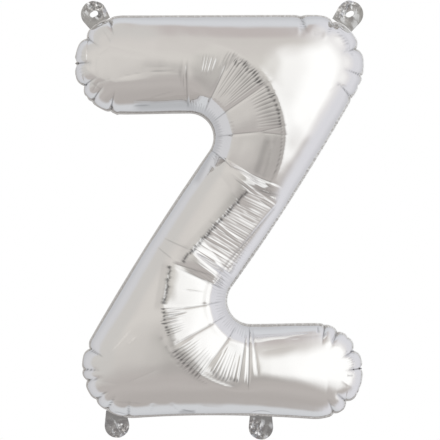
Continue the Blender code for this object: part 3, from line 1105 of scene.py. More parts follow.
def folds(lines: Sequence[Line]) -> list[Mark]:
    """Makes folds of rows in millimetres.

    Args:
        lines: Rows of start x and z, end x and z, depth, width, and the painted shade along the line.

    Returns:
        One fold for each row.
    """
    return [
        Fold(
            start=(x / 1000, z / 1000),
            end=(to_x / 1000, to_z / 1000),
            depth=depth / 1000,
            width=width / 1000,
            fade=LINE_FADE,
            dark=dark,
        )
        for x, z, to_x, to_z, depth, width, dark in lines
    ]


@dataclass
class Creasing:
    """The creases and gathers of one panel, with the painted shade and highlights on it."""

    letter: Letter
    side: Side

    OTHER_SEEDS = 100

    def marks(self) -> list[Mark]:
        """Gathers every mark of this panel; the back has its own small ones and no painted shade strips.

        Returns:
            The marks, in the order in which they act.
        """
        marks = self.upper_crook() + self.lower_crook() + self.shank() + self.ends() + self.unevenness()
        if self.side is Side.FRONT:
            return marks
        drawn_anew = (Gathers, Stitches)
        return [
            replace(mark, seed=mark.seed + self.OTHER_SEEDS) if isinstance(mark, drawn_anew) else mark
            for mark in marks
            if not isinstance(mark, (PaintedStrip, Shade))
        ]

    def drawn(self, lines: Sequence[Line]) -> list[Mark]:
        """The folds of these lines; the back shows every other one."""
        return folds(lines if self.side is Side.FRONT else lines[::2])

    def unevenness(self) -> list[Mark]:
        """The film's slow waves."""
        seed = 5 if self.side is Side.FRONT else 11
        return [Ripple(0.045, 0.00020, seed), Ripple(0.018, 0.00004, seed + 1)]

    def upper_crook(self) -> list[Mark]:
        """What spreads from the upper crook over the upper corner.

        Returns:
            Its marks.
        """
        crook = self.letter.upper_crook
        at = partial(about, crook)
        return [
            Pillows(crook, (90, 60, 33, 2, -31, -52), (0.020, 0.040, 0.060, 0.088), 0.0007),
            Ring(crook, 0.0800, (66, -33), -0.0005, 0.0050, 0.0030, 0.0, -0.002),
            Ring(crook, 0.0780, (66, -33), 0.0003, 0.0012, 0.0010, 0.35, -0.002),
            Ring(crook, 0.0700, (-3, -30), 0.0003, 0.0020, 0.0020, 0.0, -0.002),
            # Painted shade in the strips and the arc below, and painted highlight in the two strips whose
            # amount is below zero.
            PaintedStrip(at(58, 68), at(35, 69), 0.0080, 0.11, 1.0),
            PaintedStrip(at(32, 71.5), at(4, 71.5), 0.0075, 0.13, 1.0),
            PaintedStrip(at(2, 67.5), at(-33, 66), 0.0042, 0.20, 0.9),
            PaintedStrip(at(2, 54), at(-31, 53), 0.0090, -0.11, 0.7),
            PaintedStrip(at(30, 56), at(4, 56), 0.0070, -0.06, 0.8),
            Shade(crook, 0.0240, 0.0052, (98, -44), 0.15),
            PaintedStrip(at(2, 74.5), at(-31, 72.5), 0.0025, 0.10, 0.9),
            Fold(at(92, 24), at(91, 66), 0.00055, 0.0010, 0.0006, (0.1, 0.4), 0.45),
            Fold(at(96, 34), at(94.5, 68), 0.00040, 0.0009, 0.0005, (0.3, 0.4), 0.25),
            Fold(at(99, 38), at(97, 60), 0.00025, 0.0008, 0.0, (0.3, 0.4), 0.1),
            Fold(at(94.2, 30), at(92.8, 67), -0.00045, 0.0009, 0.0006, (0.3, 0.3), 0.0),
            Fold(at(89.5, 24), at(89.5, 50), -0.00030, 0.0009, 0.0, (0.2, 0.4), 0.0),
            Fold(at(58.9, 23), at(63, 80), 0.00060, 0.0010, -0.001),
            Fold(at(60.5, 60), at(59, 84), 0.00035, 0.0008, 0.0, (0.2, 0.4), 0.2),
            Fold(at(32.4, 23), at(33.8, 87), 0.00060, 0.0010),
            Fold(at(0, 22), at(3.5, 66), 0.00060, 0.0010),
            Fold(at(3.4, 60), at(6.3, 84), 0.00040, 0.0008),
            Fold(at(2.4, 62), at(0.4, 84), 0.00040, 0.0008),
            Fold(at(-30.7, 21), at(-36.5, 46), 0.00060, 0.0010, 0.0006, (0.1, 0.1)),
            Fold(at(-36.5, 42), at(-28.4, 92), 0.00060, 0.0010, 0.0, (0.1, 0.3)),
            Gathers(crook, (59, 35), (0.036, 0.080), 11, 0.00026, 0.3, 21, 0.60, 0.90),
            Gathers(crook, (32, 5), (0.056, 0.080), 11, 0.00030, 0.15, 22, 0.60, 0.90),
            Gathers(crook, (80, 70), (0.050, 0.072), 4, 0.00022, 0.3, 23, 0.30),
            Gathers(crook, (67, 61), (0.060, 0.082), 3, 0.00025, 0.3, 25, 0.30),
            Gathers(crook, (95, -45), (0.0195, 0.031), 30, 0.00025, 0.4, 24, 0.20),
        ]

    def lower_crook(self) -> list[Mark]:
        """What spreads from the lower crook over the lower corner.

        Returns:
            Its marks.
        """
        crook = self.letter.lower_crook
        at = partial(about, crook)
        return [
            Pillows(crook, (128, 154, 182, 209, 237, 266), (0.020, 0.040, 0.060, 0.088), 0.0007),
            Ring(crook, 0.0745, (150, 262), -0.0004, 0.0050, 0.0030, 0.0, -0.002),
            Ring(crook, 0.0730, (182, 262), 0.0003, 0.0012, 0.0010, 0.30, -0.002),
            Ring(crook, 0.0800, (198, 244), 0.0004, 0.0018, 0.0014, 0.22, -0.004),
            Stitches(at(156, 75.0), at(181.5, 73.5), 12, 0.0017, 0.0003, 0.95, 51),
            # Painted shade in these strips.
            PaintedStrip(at(148, 36), at(186, 32), 0.0110, 0.13, 1.0),
            PaintedStrip(at(208, 34), at(238, 32), 0.0090, 0.08, 1.0),
            PaintedStrip(at(238, 43), at(264, 43), 0.0090, 0.20, 1.0),
            PaintedStrip(at(182, 68), at(198, 68), 0.0070, 0.18, 1.0),
            PaintedStrip(at(154, 80), at(186, 80), 0.0045, 0.12, 0.6),
            PaintedStrip(at(203, 78), at(238, 78), 0.0045, 0.10, 0.8),
            Fold(at(155.5, 23), at(155.5, 74), 0.00055),
            Fold(at(168, 40), at(170, 62), 0.00035, 0.0008, 0.0, (0.3, 0.4), 0.15),
            Fold(at(180, 23), at(186, 80), 0.00060, 0.0010),
            Fold(at(188, 54), at(191, 78), 0.00040, 0.0008, 0.0, (0.2, 0.3)),
            Fold(at(209, 23), at(209, 80), 0.00060, 0.0010),
            Fold(at(239.5, 23), at(235.2, 80), 0.00060, 0.0010),
            Fold(at(266, 21), at(268, 76), 0.00055, 0.0009, 0.0, (0.1, 0.2), 0.6),
            Fold(at(263, 26), at(264.5, 74), -0.00030, 0.0006, 0.0, (0.1, 0.2), 0.0),
            Fold(at(261, 30), at(261, 72), 0.00030, 0.0007, 0.0, (0.1, 0.3), 0.5),
            Fold(at(270, 24), at(271.5, 68), -0.00028, 0.0006, 0.0, (0.1, 0.3), 0.0),
            Fold(at(273, 24), at(275, 66), 0.00035, 0.0008, 0.0, (0.1, 0.3), 0.3),
            Gathers(crook, (184, 202), (0.054, 0.078), 8, 0.00030, 0.3, 31, 0.70, 0.90),
            Gathers(crook, (211, 235), (0.052, 0.0800), 10, 0.00030, 0.18, 32, 0.80, 0.70),
            Gathers(crook, (239, 260), (0.040, 0.072), 8, 0.00030, 0.3, 33, 0.70, 0.60),
            Gathers(crook, (140, 275), (0.0195, 0.033), 30, 0.00025, 0.4, 34, 0.20),
        ]

    def shank(self) -> list[Mark]:
        """The cross gathers down the diagonal, fanned about a far centre, and the stitched line they end at.

        Returns:
            Its marks.
        """
        far_centre = (-0.309, -0.008)
        return [
            Gathers(far_centre, (-22.5, -37.0), (0.346, 0.388), 38, 0.00007, 0.25, 41, 0.30),
            Gathers(far_centre, (-24.5, -36.0), (0.350, 0.385), 11, 0.00014, 0.5, 42, 0.15),
            Stitches((0.0213, -0.1533), (-0.0335, -0.2127), 36, 0.0015, 0.0003, 0.98, 52),
            Fold((0.0475, -0.1640), (-0.0060, -0.2270), 0.00040, 0.0010, 0.0, (0.1, 0.1), 0.30),
            # Painted shade in these strips.
            PaintedStrip((0.0152, -0.1445), (0.0473, -0.1554), 0.0060, 0.22, 0.9),
            PaintedStrip((0.0172, -0.1503), (-0.0376, -0.2097), 0.0048, 0.09, 0.9),
            *self.drawn(SHANK_LINES),
        ]

    def ends(self) -> list[Mark]:
        """The puffed lobes round the ends and corners, and the pleats between them.

        Returns:
            Their marks.
        """
        letter = self.letter
        marks: list[Mark] = [
            Gathers(letter.upper_corner, (53, 12), (0.0265, 0.0340), 10, 0.00016, 0.25, 61, 0.30),
            Ring(letter.upper_corner, 0.0343, (66, 18), 0.0004, 0.0030, 0.0015, 0.12, 0.004),
            Gathers(letter.right_end, (34, 4), (0.0250, 0.0340), 8, 0.00022, 0.3, 62, 0.35),
            Gathers(letter.left_end, (200, 165), (0.0300, 0.0380), 7, 0.00012, 0.3, 63, 0.15),
            # Painted shade in these strips, and, where the amount is below zero, painted highlights: the
            # bright arcs where the film mirrors the tab roots beneath it.
            PaintedStrip((-0.0720, -0.0480), (-0.0300, -0.0470), 0.0055, 0.10, 1.0),
            PaintedStrip((-0.0280, -0.0425), (0.0000, -0.0425), 0.0070, 0.10, 0.7),
            PaintedStrip((-0.0790, -0.0805), (-0.0190, -0.0790), 0.0062, 0.30, 0.9),
            PaintedStrip((-0.0080, -0.1160), (-0.0236, -0.1490), 0.0045, 0.20, 0.9),
            PaintedStrip((-0.0376, -0.3418), (-0.0218, -0.3408), 0.0024, 0.34, 0.5),
            PaintedStrip((-0.0920, -0.3418), (-0.0824, -0.3448), 0.0016, -0.14, 0.5),
            Fold((-0.0930, -0.3414), (-0.0812, -0.3452), 0.00020, 0.0006, 0.0019, (0.2, 0.2), 0.40),
            PaintedStrip((0.0242, -0.3425), (0.0424, -0.3425), 0.0020, -0.14, 0.5),
            Fold((0.0230, -0.3428), (0.0436, -0.3428), 0.00020, 0.0006, 0.0024, (0.2, 0.2), 0.40),
            *self.drawn(LEFT_END_LINES + UPPER_CORNER_LINES + LOWER_CORNER_LINES + RIGHT_END_LINES),
        ]
        lobes = (
            (letter.left_end, letter.left_end_radius, (108, 144.5, 178.8, 208, 229, 254), 0.0012),
            (letter.upper_corner, letter.upper_corner_radius, (105.3, 66, 20.6, -13, -42), 0.0010),
            (letter.lower_corner, letter.lower_corner_radius, (157, 182.3, 196.2, 221.5, 238.5, 265), 0.0009),
            (letter.right_end, letter.right_end_radius, (78, 60, 28.6, 3.8, -44, -66), 0.0011),
        )
        for centre, radius, bearings, depth in lobes:
            rise, full, fall, gone = (share * radius for share in LOBE_RADII)
            marks.append(Pillows(centre, bearings, (rise, full, fall, gone), depth))
            for bearing in bearings:
                edge, inner = (beside(centre, bearing, share * radius) for share in PLEAT_ENDS)
                marks.append(Fold(edge, inner, PLEAT_DEPTH, PLEAT_WIDTH, 0.0, PLEAT_FADE, PLEAT_DARK))
        return marks


# Meshes


def mesh_from(name: str, vertices: np.ndarray, quads: np.ndarray, triangles: np.ndarray) -> bpy.types.Mesh:
    """A smooth mesh from arrays.

    Args:
        name: The mesh's name.
        vertices: Its points, as rows of x, y and z.
        quads: The four-cornered faces, as rows of point numbers.
        triangles: The three-cornered faces, in the same way.

    Returns:
        The new mesh.
    """
    mesh = bpy.data.meshes.new(name)
    loops = np.concatenate([quads.reshape(-1), triangles.reshape(-1)]).astype(np.int32)
    starts = np.concatenate([np.arange(len(quads)) * 4, len(quads) * 4 + np.arange(len(triangles)) * 3])
    mesh.vertices.add(len(vertices))
    mesh.vertices.foreach_set("co", vertices.astype(np.float32).reshape(-1))
    mesh.loops.add(len(loops))
    mesh.loops.foreach_set("vertex_index", loops)
    mesh.polygons.add(len(starts))
    mesh.polygons.foreach_set("loop_start", starts.astype(np.int32))
    mesh.update(calc_edges=True)
    mesh.validate()
    mesh.shade_smooth()
    return mesh


def mark_points(mesh: bpy.types.Mesh, name: str, values: np.ndarray) -> None:
    """Keeps a number with every point of a mesh, for its finish to read.

    Args:
        mesh: The mesh.
        name: The attribute's name.
        values: One number for each point.
    """
    kept = mesh.attributes.new(name, "FLOAT", "POINT")
    kept.data.foreach_set("value", values.astype(np.float32))


def into_scene(name: str, mesh: bpy.types.Mesh, finish: bpy.types.Material) -> bpy.types.Object:
    """Puts a mesh into the scene with its finish, and reports it.

    Args:
        name: The object's name.
        mesh: Its mesh.
        finish: Its material.

    Returns:
        The new object.
    """
    made = bpy.data.objects.new(name, mesh)
    made.data.materials.append(finish)
    bpy.context.scene.collection.objects.link(made)
    LOG.info("%s: %d faces", name, len(mesh.polygons))
    return made


def grid_quads(rows: int, columns: int, wrap_rows: bool = False, wrap_columns: bool = False) -> np.ndarray:
    """The cells of a grid as faces.

    Args:
        rows: How many rows of points there are.
        columns: How many points there are in a row.
        wrap_rows: Whether the last row joins the first.
        wrap_columns: Whether the last column joins the first.

    Returns:
        Rows of four point numbers each.
    """
    index = np.arange(rows * columns).reshape(rows, columns)
    if wrap_rows:
        index = np.concatenate([index, index[:1]])
    if wrap_columns:
        index = np.concatenate([index, index[:, :1]], axis=1)
    cells = np.stack([index[:-1, :-1], index[1:, :-1], index[1:, 1:], index[:-1, 1:]], axis=-1)
    return cells.reshape(-1, 4)


def fan_triangles(pole: int, first: np.ndarray, second: np.ndarray) -> np.ndarray:
    """Triangles from one point to pairs of neighbours: rows of the pole, a first and a second point."""
    return np.stack([np.full(len(first), pole), first, second], axis=1)


@dataclass
class FilmPanel:
    """One mirror film, domed off the seam plane, with its creases.

    Its marks reach their full depth at the held height, and each one's painted shade stays within the limits.
    """

    lattice: Lattice
    swelling: Swelling
    side: Side
    name: str
    node: str
    held_height: float = 0.005
    shade_limits: Span = (-0.14, 0.95)
    pucker: float = 0.00005
    pucker_reach: float = 0.008
    pucker_pitch: float = 0.0041
    pucker_drift: float = 0.031
    pucker_swing: float = 1.5
    pucker_beat: float = 0.0067
    beat_share: float = 0.6
    beat_phase: float = 2.0

    def surface(self) -> tuple[np.ndarray, np.ndarray]:
        """The swollen grid, moved along its normals by the sum of all marks and puckers.

        Returns:
            The film's points, rungs by columns by three, and how much painted shade each has.
        """
        grid = self.lattice.grid(RIM_WIDTH)
        height = self.swelling.heights(grid)
        for stretch in Tension(self.lattice).stretches():
            height = stretch.pull(grid, height, self.lattice.share())
        lift = self.side.value * (FILM_LIFT + height)
        points = np.stack([grid[..., 0], lift, grid[..., 1]], axis=-1)
        normals = np.cross(np.gradient(points, axis=0), np.gradient(points, axis=1))
        normals /= np.maximum(np.linalg.norm(normals, axis=-1, keepdims=True), 1e-12)
        normals *= np.sign(normals[..., 1:2] * self.side.value + 1e-9)
        push, light = self.puckers(height), np.ones(height.shape)
        # Each mark's shade is painted shade on the film, and a painted highlight where it is below zero.
        for mark in Creasing(self.lattice.letter, self.side).marks():
            moved, shade = mark.press(grid)
            push = push + moved
            light = light * (1.0 - np.clip(shade, *self.shade_limits))
        held = smooth(height / self.held_height)
        return points + normals * (push * held)[..., None], 1.0 - light

    def puckers(self, height: np.ndarray) -> np.ndarray:
        """Small gathers that stand along the seam: two sine waves along the edge, dying away up the side.

        Args:
            height: The film's height over each grid point.

        Returns:
            How far each grid point moves outwards.
        """
        along = self.lattice.edge_lengths()
        drift = self.pucker_swing * np.sin(along / self.pucker_drift)
        wave = np.sin(along / self.pucker_pitch * 2 * math.pi + drift)
        wave += self.beat_share * np.sin(along / self.pucker_beat * 2 * math.pi + self.beat_phase)
        return self.pucker * wave * np.exp(-height / self.pucker_reach)

    def build(self, finish: bpy.types.Material) -> bpy.types.Object:
        """The film as an object that rides on the envelope in place of its CAD panel.

        Args:
            finish: The film's material.

        Returns:
            The new object.
        """
        points, shade = self.surface()
        rows, columns = points.shape[:2]
        between_tips = points[1:-1].reshape(-1, 3)
        quads = grid_quads(rows - 2, columns)
        first_rung = np.arange(columns - 1)
        last_rung = first_rung + (rows - 3) * columns
        triangles = np.concatenate(
            [
                fan_triangles(len(between_tips), first_rung, first_rung + 1),
                fan_triangles(len(between_tips) + 1, last_rung + 1, last_rung),
            ]
        )
        vertices = np.concatenate([between_tips, points[0, :1], points[-1, :1]])
        if self.side is Side.BACK:
            quads, triangles = quads[:, ::-1], triangles[:, ::-1]
        mesh = mesh_from(self.name, vertices, quads, triangles)
        # The painted shade goes with the points for the finish to read.
        mark_points(mesh, "painted_shade", np.append(shade[1:-1].reshape(-1), [0.0, 0.0]))
        made = into_scene(self.name, mesh, finish)
        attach(made, "envelope")
        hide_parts(self.node)
        return made


@dataclass
class SeamRim:
    """The thin welded strip round the letter, a little wavy along its free edge.

    Four loops lie across the strip, from under the films to the free edge. Each has its inset, its
    share of the ruffle and its share of the thickness.
    """

    lattice: Lattice
    name: str = "seam_rim"
    step: float = 0.0006
    ruffle: float = 0.00005
    ruffle_pitch: float = 0.0061
    ruffle_beat: float = 0.0193
    beat_share: float = 0.7
    beat_phase: float = 1.0
    insets: tuple[float, ...] = (RIM_WIDTH + RIM_TUCK, RIM_WIDTH * 0.5, 0.0001, 0.0)
    lean: tuple[float, ...] = (0.0, 0.4, 1.0, 1.0)
    thick: tuple[float, ...] = (1.0, 1.0, 1.0, 0.4)

    def loop(self, inset: float) -> np.ndarray:
        """A closed loop of points round the letter, at even steps along both rails.

        Args:
            inset: How far in from the letter's edge the loop runs.

        Returns:
            Points as x and z, up one rail and back down the other.
        """
        sides = []
        for rail, way in ((self.lattice.upper, 1), (self.lattice.lower, -1)):
            count = round(rail.lengths[-1] / self.step)
            lengths = np.linspace(0, rail.lengths[-1], count, endpoint=False)[1:]
            places = np.interp(lengths, rail.lengths, np.arange(len(rail.lengths)))
            places = np.concatenate([[0.0], places, [len(rail.points) - 1.0]])
            sides.append(rail.at(places, inset)[::way])
        return np.concatenate([sides[0][:-1], sides[1][:-1]])

    def build(self, finish: bpy.types.Material) -> bpy.types.Object:
        """The rim as an object that rides on the envelope in place of the CAD flange.

        Args:
            finish: The rim's material.

        Returns:
            The new object.
        """
        loops = np.stack([self.loop(inset) for inset in self.insets], axis=1)
        along = np.arange(len(loops)) * self.step
        wave = np.sin(along / self.ruffle_pitch * 2 * math.pi)
        wave += self.beat_share * np.sin(along / self.ruffle_beat * 2 * math.pi + self.beat_phase)
        lean = (self.ruffle * wave)[:, None] * np.array(self.lean)[None, :]
        thick = RIM_HALF_THICKNESS * np.array(self.thick)
        front = np.stack([loops[..., 0], lean - thick, loops[..., 1]], axis=-1)
        back = np.stack([loops[..., 0], lean + thick, loops[..., 1]], axis=-1)[:, ::-1]
        around = np.concatenate([front, back], axis=1)
        quads = grid_quads(len(loops), around.shape[1], wrap_rows=True, wrap_columns=True)
        mesh = mesh_from(self.name, around.reshape(-1, 3), quads, np.zeros((0, 3), int))
        made = into_scene(self.name, mesh, finish)
        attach(made, "envelope")
        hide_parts("seam_flange")
        return made


@dataclass(frozen=True)
class TabFilm:
    """A crumpled flap of film: its root on the rim, its round head and the cord's hole, if it has one.

    Its way outward and its smooth side are bearings, and its crumples are drawn from the seed.
    """

    name: str
    node: str
    body: str
    root: Point
    outward: float
    half_width: float
    head: Point
    radius: float
    hole: float
    seed: int
    crumple: float
    smooth_side: float
    around: int = 200
    rings: int = 34
    ring_spread: float = 0.9
    thickness: float = 0.00016
    tuck: float = 0.0016
    middle_radius: float = 0.00012
    hole_unevenness: float = 0.22
    hole_phase: float = 0.6
    creases: int = 9
    crease_lengths: Span = (0.0050, 0.0140)
    crease_bend: float = 0.18
    crease_bend_length: float = 0.004
    least_loose: float = 0.10
    loose_edge: float = 0.45
    loose_slope: float = 0.9
    root_reach: float = 0.006
    bend_before: float = 0.0006
    bend_after: float = 0.0016

    def ways(self) -> tuple[np.ndarray, np.ndarray]:
        """The way out from the rim, and the way along it."""
        outward = np.array(beside((0.0, 0.0), self.outward, 1.0))
        return outward, np.array([outward[1], -outward[0]])

    def outline(self, bearing: np.ndarray) -> np.ndarray:
        """How far the flap's edge is from the head's centre.

        The edge is the head's circle, the straight root, and the two tangents from the root's
        corners to the circle.

        Args:
            bearing: Bearings from the head's centre, in radians.

        Returns:
            The distance at each bearing.
        """
        outward, sideways = self.ways()
        head = np.array(self.head)
        to_middle = np.array(self.root) - self.tuck * outward - head
        rays = np.stack([np.cos(bearing), np.sin(bearing)], axis=-1)
        forward = rays @ outward
        towards = forward < -TINY
        to_root = np.where(towards, (to_middle @ outward) / np.where(towards, forward, -1.0), 0.0)
        hit = np.abs(to_root * (rays @ sideways) - to_middle @ sideways) <= self.half_width
        reach = np.where(towards & hit, to_root, self.radius)
        for side in (1.0, -1.0):
            gap = to_middle + side * self.half_width * sideways
            far = float(np.hypot(*gap))
            if far <= self.radius:
                continue
            base = math.atan2(gap[1], gap[0])
            turn = 1.0 if gap[0] * to_middle[1] - gap[1] * to_middle[0] < 0 else -1.0
            touch = base + turn * math.acos(self.radius / far)
            from_touch = (bearing - touch + math.pi) % (2 * math.pi) - math.pi
            to_corner = (base - touch + math.pi) % (2 * math.pi) - math.pi
            inside = (from_touch * np.sign(to_corner) >= 0) & (np.abs(from_touch) <= abs(to_corner))
            tangent = self.radius / np.cos(np.clip(np.abs(from_touch), 0, 1.5))
            reach = np.where(inside, tangent, reach)
        return reach

    def crumpled(self, points: np.ndarray) -> np.ndarray:
        """How far the crumpled film stands off its plane: the sum of zigzag waves, each a little bent.

        Args:
            points: Places as x and z.

        Returns:
            The lift of each place.
        """
        random = np.random.default_rng(self.seed)
        away = points - np.array(self.head)
        total = np.zeros(points.shape[:-1])
        for k in range(self.creases):
            angle = random.uniform(0, 2 * math.pi)
            length = random.uniform(*self.crease_lengths)
            phase = random.uniform(0, 1)
            place = away @ np.array([math.cos(angle), math.sin(angle)]) / length + phase
            sideways = away @ np.array([-math.sin(angle), math.cos(angle)])
            place = place + self.crease_bend * np.sin(sideways / self.crease_bend_length + k)
            total += (np.abs(place - np.floor(place) - 0.5) - 0.25) * length
        return self.crumple * total * self.loose(points)

    def loose(self, points: np.ndarray) -> np.ndarray:
        """How loosely the film hangs: least at the root and on the smooth side.

        Args:
            points: Places as x and z.

        Returns:
            A share from 0 to 1 for each place.
        """
        lit = (points - np.array(self.head)) @ np.array(beside((0.0, 0.0), self.smooth_side, 1.0))
        up = (points - np.array(self.root)) @ self.ways()[0]
        crumpled = smooth(self.loose_edge - lit / self.radius * self.loose_slope)
        shares = self.least_loose + (1.0 - self.least_loose) * crumpled
        return shares * smooth(up / self.root_reach)

    def sheet(self) -> np.ndarray:
        """The flap's points on its plane: rays from the hole, or from the head's centre, out to the edge.

        Returns:
            Points as rays by rings by x and z.
        """
        bearing = np.linspace(0, 2 * math.pi, self.around, endpoint=False)
        uneven = self.hole_unevenness if self.hole else 0.0
        inner = max(self.hole, self.middle_radius) * (1 + uneven * np.sin(2 * bearing + self.hole_phase))
        share = np.linspace(0, 1, self.rings) ** self.ring_spread
        reach = inner[:, None] + (self.outline(bearing) - inner)[:, None] * share[None, :]
        rays = np.stack([np.cos(bearing), np.sin(bearing)], axis=-1)
        return np.array(self.head) + reach[..., None] * rays[:, None, :]

    def build(self, finish: bpy.types.Material) -> bpy.types.Object:
        """The flap as an object in place of its CAD tab.

        Args:
            finish: The flap's material.

        Returns:
            The new object.
        """
        points = self.sheet()
        lift = self.crumpled(points)
        front = np.stack([points[..., 0], lift - self.thickness / 2, points[..., 1]], axis=-1)
        back = np.stack([points[..., 0], lift + self.thickness / 2, points[..., 1]], axis=-1)
        around = np.concatenate([front, back[:, ::-1]], axis=1)
        columns = around.shape[1]
        quads = grid_quads(self.around, columns, wrap_rows=True, wrap_columns=self.hole > 0)
        triangles = np.zeros((0, 3), int)
        vertices = around.reshape(-1, 3)
        if self.hole <= 0:
            ring = np.arange(self.around) * columns
            after = np.roll(ring, -1)
            triangles = np.concatenate(
                [
                    fan_triangles(len(vertices), after, ring),
                    fan_triangles(len(vertices) + 1, ring + columns - 1, after + columns - 1),
                ]
            )
            middles = [front[:, 0].mean(axis=0)[None], back[:, 0].mean(axis=0)[None]]
            vertices = np.concatenate([vertices, *middles])
        mesh = mesh_from(self.name, vertices, quads, triangles)
        mark_points(mesh, "crumpled", self.loose(vertices[:, ::2]))
        made = into_scene(self.name, mesh, finish)
        made.visible_glossy = self.hole > 0
        out = self.ways()[0]
        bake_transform(made)
        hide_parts(self.node)
        return made


# Finishes


class Nodes:
    """Short ways to add and join shader nodes."""

    def __init__(self, tree: bpy.types.NodeTree) -> None:
        """Works on one node tree."""
        self.tree = tree

    def add(self, kind: str, **settings: object) -> bpy.types.Node:
        """Adds a node.

        Args:
            kind: The node's type.
            settings: What to set on it.

        Returns:
            The new node.
        """
        node = self.tree.nodes.new(kind)
        for key, value in settings.items():
            setattr(node, key, value)
        return node

    def feed(self, socket: bpy.types.NodeSocket, value: object) -> None:
        """Joins a socket to a value, or sets it where the value is a plain one.

        Args:
            socket: The input to feed.
            value: Another node's output, or a number or colour.
        """
        if isinstance(value, bpy.types.NodeSocket):
            self.tree.links.new(value, socket)
        else:
            socket.default_value = value

    def math(self, operation: str, *values: object) -> bpy.types.NodeSocket:
        """A sum on numbers.

        Args:
            operation: What to do with them.
            values: Up to three outputs or numbers.

        Returns:
            The result.
        """
        node = self.add("ShaderNodeMath", operation=operation)
        for socket, value in zip(node.inputs, values):
            self.feed(socket, value)
        return node.outputs[0]

    def product(self, first: object, *others: object) -> bpy.types.NodeSocket:
        """The product of several numbers.

        Args:
            first: An output or a number.
            others: What it is multiplied by, one after another.

        Returns:
            The product.
        """
        for other in others:
            first = self.math("MULTIPLY", first, other)
        return first

    def ramp(self, value: object, low: float, high: float) -> bpy.types.NodeSocket:
        """A soft step from 0 at low to 1 at high, by the same cubic as smooth.

        Args:
            value: The number that is stepped.
            low: Where the step starts.
            high: Where it ends, above low or below it.

        Returns:
            The stepped number.
        """
        node = self.add("ShaderNodeMapRange", interpolation_type="SMOOTHSTEP")
        self.feed(node.inputs["Value"], value)
        ends = (low, high, 0.0, 1.0) if low < high else (high, low, 1.0, 0.0)
        for key, number in zip(("From Min", "From Max", "To Min", "To Max"), ends):
            node.inputs[key].default_value = number
        return node.outputs["Result"]

    def mix(self, factor: object, first: object, second: object) -> bpy.types.NodeSocket:
        """A blend of two colours.

        Args:
            factor: How much of the second colour there is.
            first: An output or a colour.
            second: An output or a colour.

        Returns:
            The blended colour.
        """
        node = self.add("ShaderNodeMix", data_type="RGBA")
        self.feed(node.inputs["Factor"], factor)
        self.feed(node.inputs[6], (*first, 1.0) if isinstance(first, tuple) else first)
        self.feed(node.inputs[7], (*second, 1.0) if isinstance(second, tuple) else second)
        return node.outputs[2]

    def bands(self, value: object, stops: Sequence[tuple[float, Colour]]) -> bpy.types.NodeSocket:
        """A run of colours along a number from 0 to 1.

        Args:
            value: The number.
            stops: Places along it and the colour at each.

        Returns:
            The colour.
        """
        node = self.add("ShaderNodeValToRGB")
        ramp = node.color_ramp
        ramp.interpolation = "EASE"
        ramp.elements[0].position, ramp.elements[1].position = stops[0][0], stops[-1][0]
        ramp.elements[0].color, ramp.elements[1].color = (*stops[0][1], 1.0), (*stops[-1][1], 1.0)
        for place, colour in stops[1:-1]:
            ramp.elements.new(place).color = (*colour, 1.0)
        self.feed(node.inputs[0], value)
        return node.outputs[0]

    def cloud(self, scale: object, detail: float, place: object = None) -> bpy.types.NodeSocket:
        """A noise of soft blots.

        Args:
            scale: How fine the blots are.
            detail: How many finer layers they have.
            place: The coordinates that they follow, or the node's own.

        Returns:
            A number from 0 to 1.
        """
        node = self.add("ShaderNodeTexNoise")
        if place is not None:
            self.feed(node.inputs["Vector"], place)
        self.feed(node.inputs["Scale"], scale)
        node.inputs["Detail"].default_value = detail
        return node.outputs["Fac"]


# The grain: its fine layer's scale and share, the haze's slope and start, and the crinkle's height.
FINER = 9.0
FINE_SHARE = 0.12
HAZE_SLOPE = 0.8
HAZE_START = 0.6
CRINKLE_HEIGHT = 0.001


def film_grain() -> bpy.types.NodeTree:
    """A group for metallised film: its haze, its faint tint and its fine crinkle.

    Returns:
        The node group, with inputs for the scale, the haze and the crinkle.
    """
    tree = bpy.data.node_groups.new("film_grain", "ShaderNodeTree")
    for name, kind, way in (
        ("Scale", "NodeSocketFloat", "INPUT"),
        ("Haze", "NodeSocketFloat", "INPUT"),
        ("Crinkle", "NodeSocketFloat", "INPUT"),
        ("Roughness", "NodeSocketFloat", "OUTPUT"),
        ("Tint", "NodeSocketFloat", "OUTPUT"),
        ("Normal", "NodeSocketVector", "OUTPUT"),
    ):
        tree.interface.new_socket(name=name, in_out=way, socket_type=kind)
    nodes = Nodes(tree)
    given, out = nodes.add("NodeGroupInput"), nodes.add("NodeGroupOutput")
    place = nodes.add("ShaderNodeTexCoord").outputs["Object"]
    coarse = nodes.cloud(given.outputs["Scale"], detail=3.0, place=place)
    fine = nodes.cloud(nodes.product(given.outputs["Scale"], FINER), detail=2.0, place=place)
    uneven = nodes.math("MULTIPLY_ADD", coarse, HAZE_SLOPE, HAZE_START)
    nodes.feed(out.inputs["Roughness"], nodes.product(uneven, given.outputs["Haze"]))
    nodes.feed(out.inputs["Tint"], coarse)
    bump = nodes.add("ShaderNodeBump")
    bump.inputs["Distance"].default_value = CRINKLE_HEIGHT
    nodes.feed(bump.inputs["Strength"], given.outputs["Crinkle"])
    nodes.feed(bump.inputs["Height"], nodes.math("ADD", coarse, nodes.product(fine, FINE_SHARE)))
    nodes.feed(out.inputs["Normal"], bump.outputs["Normal"])
    return tree


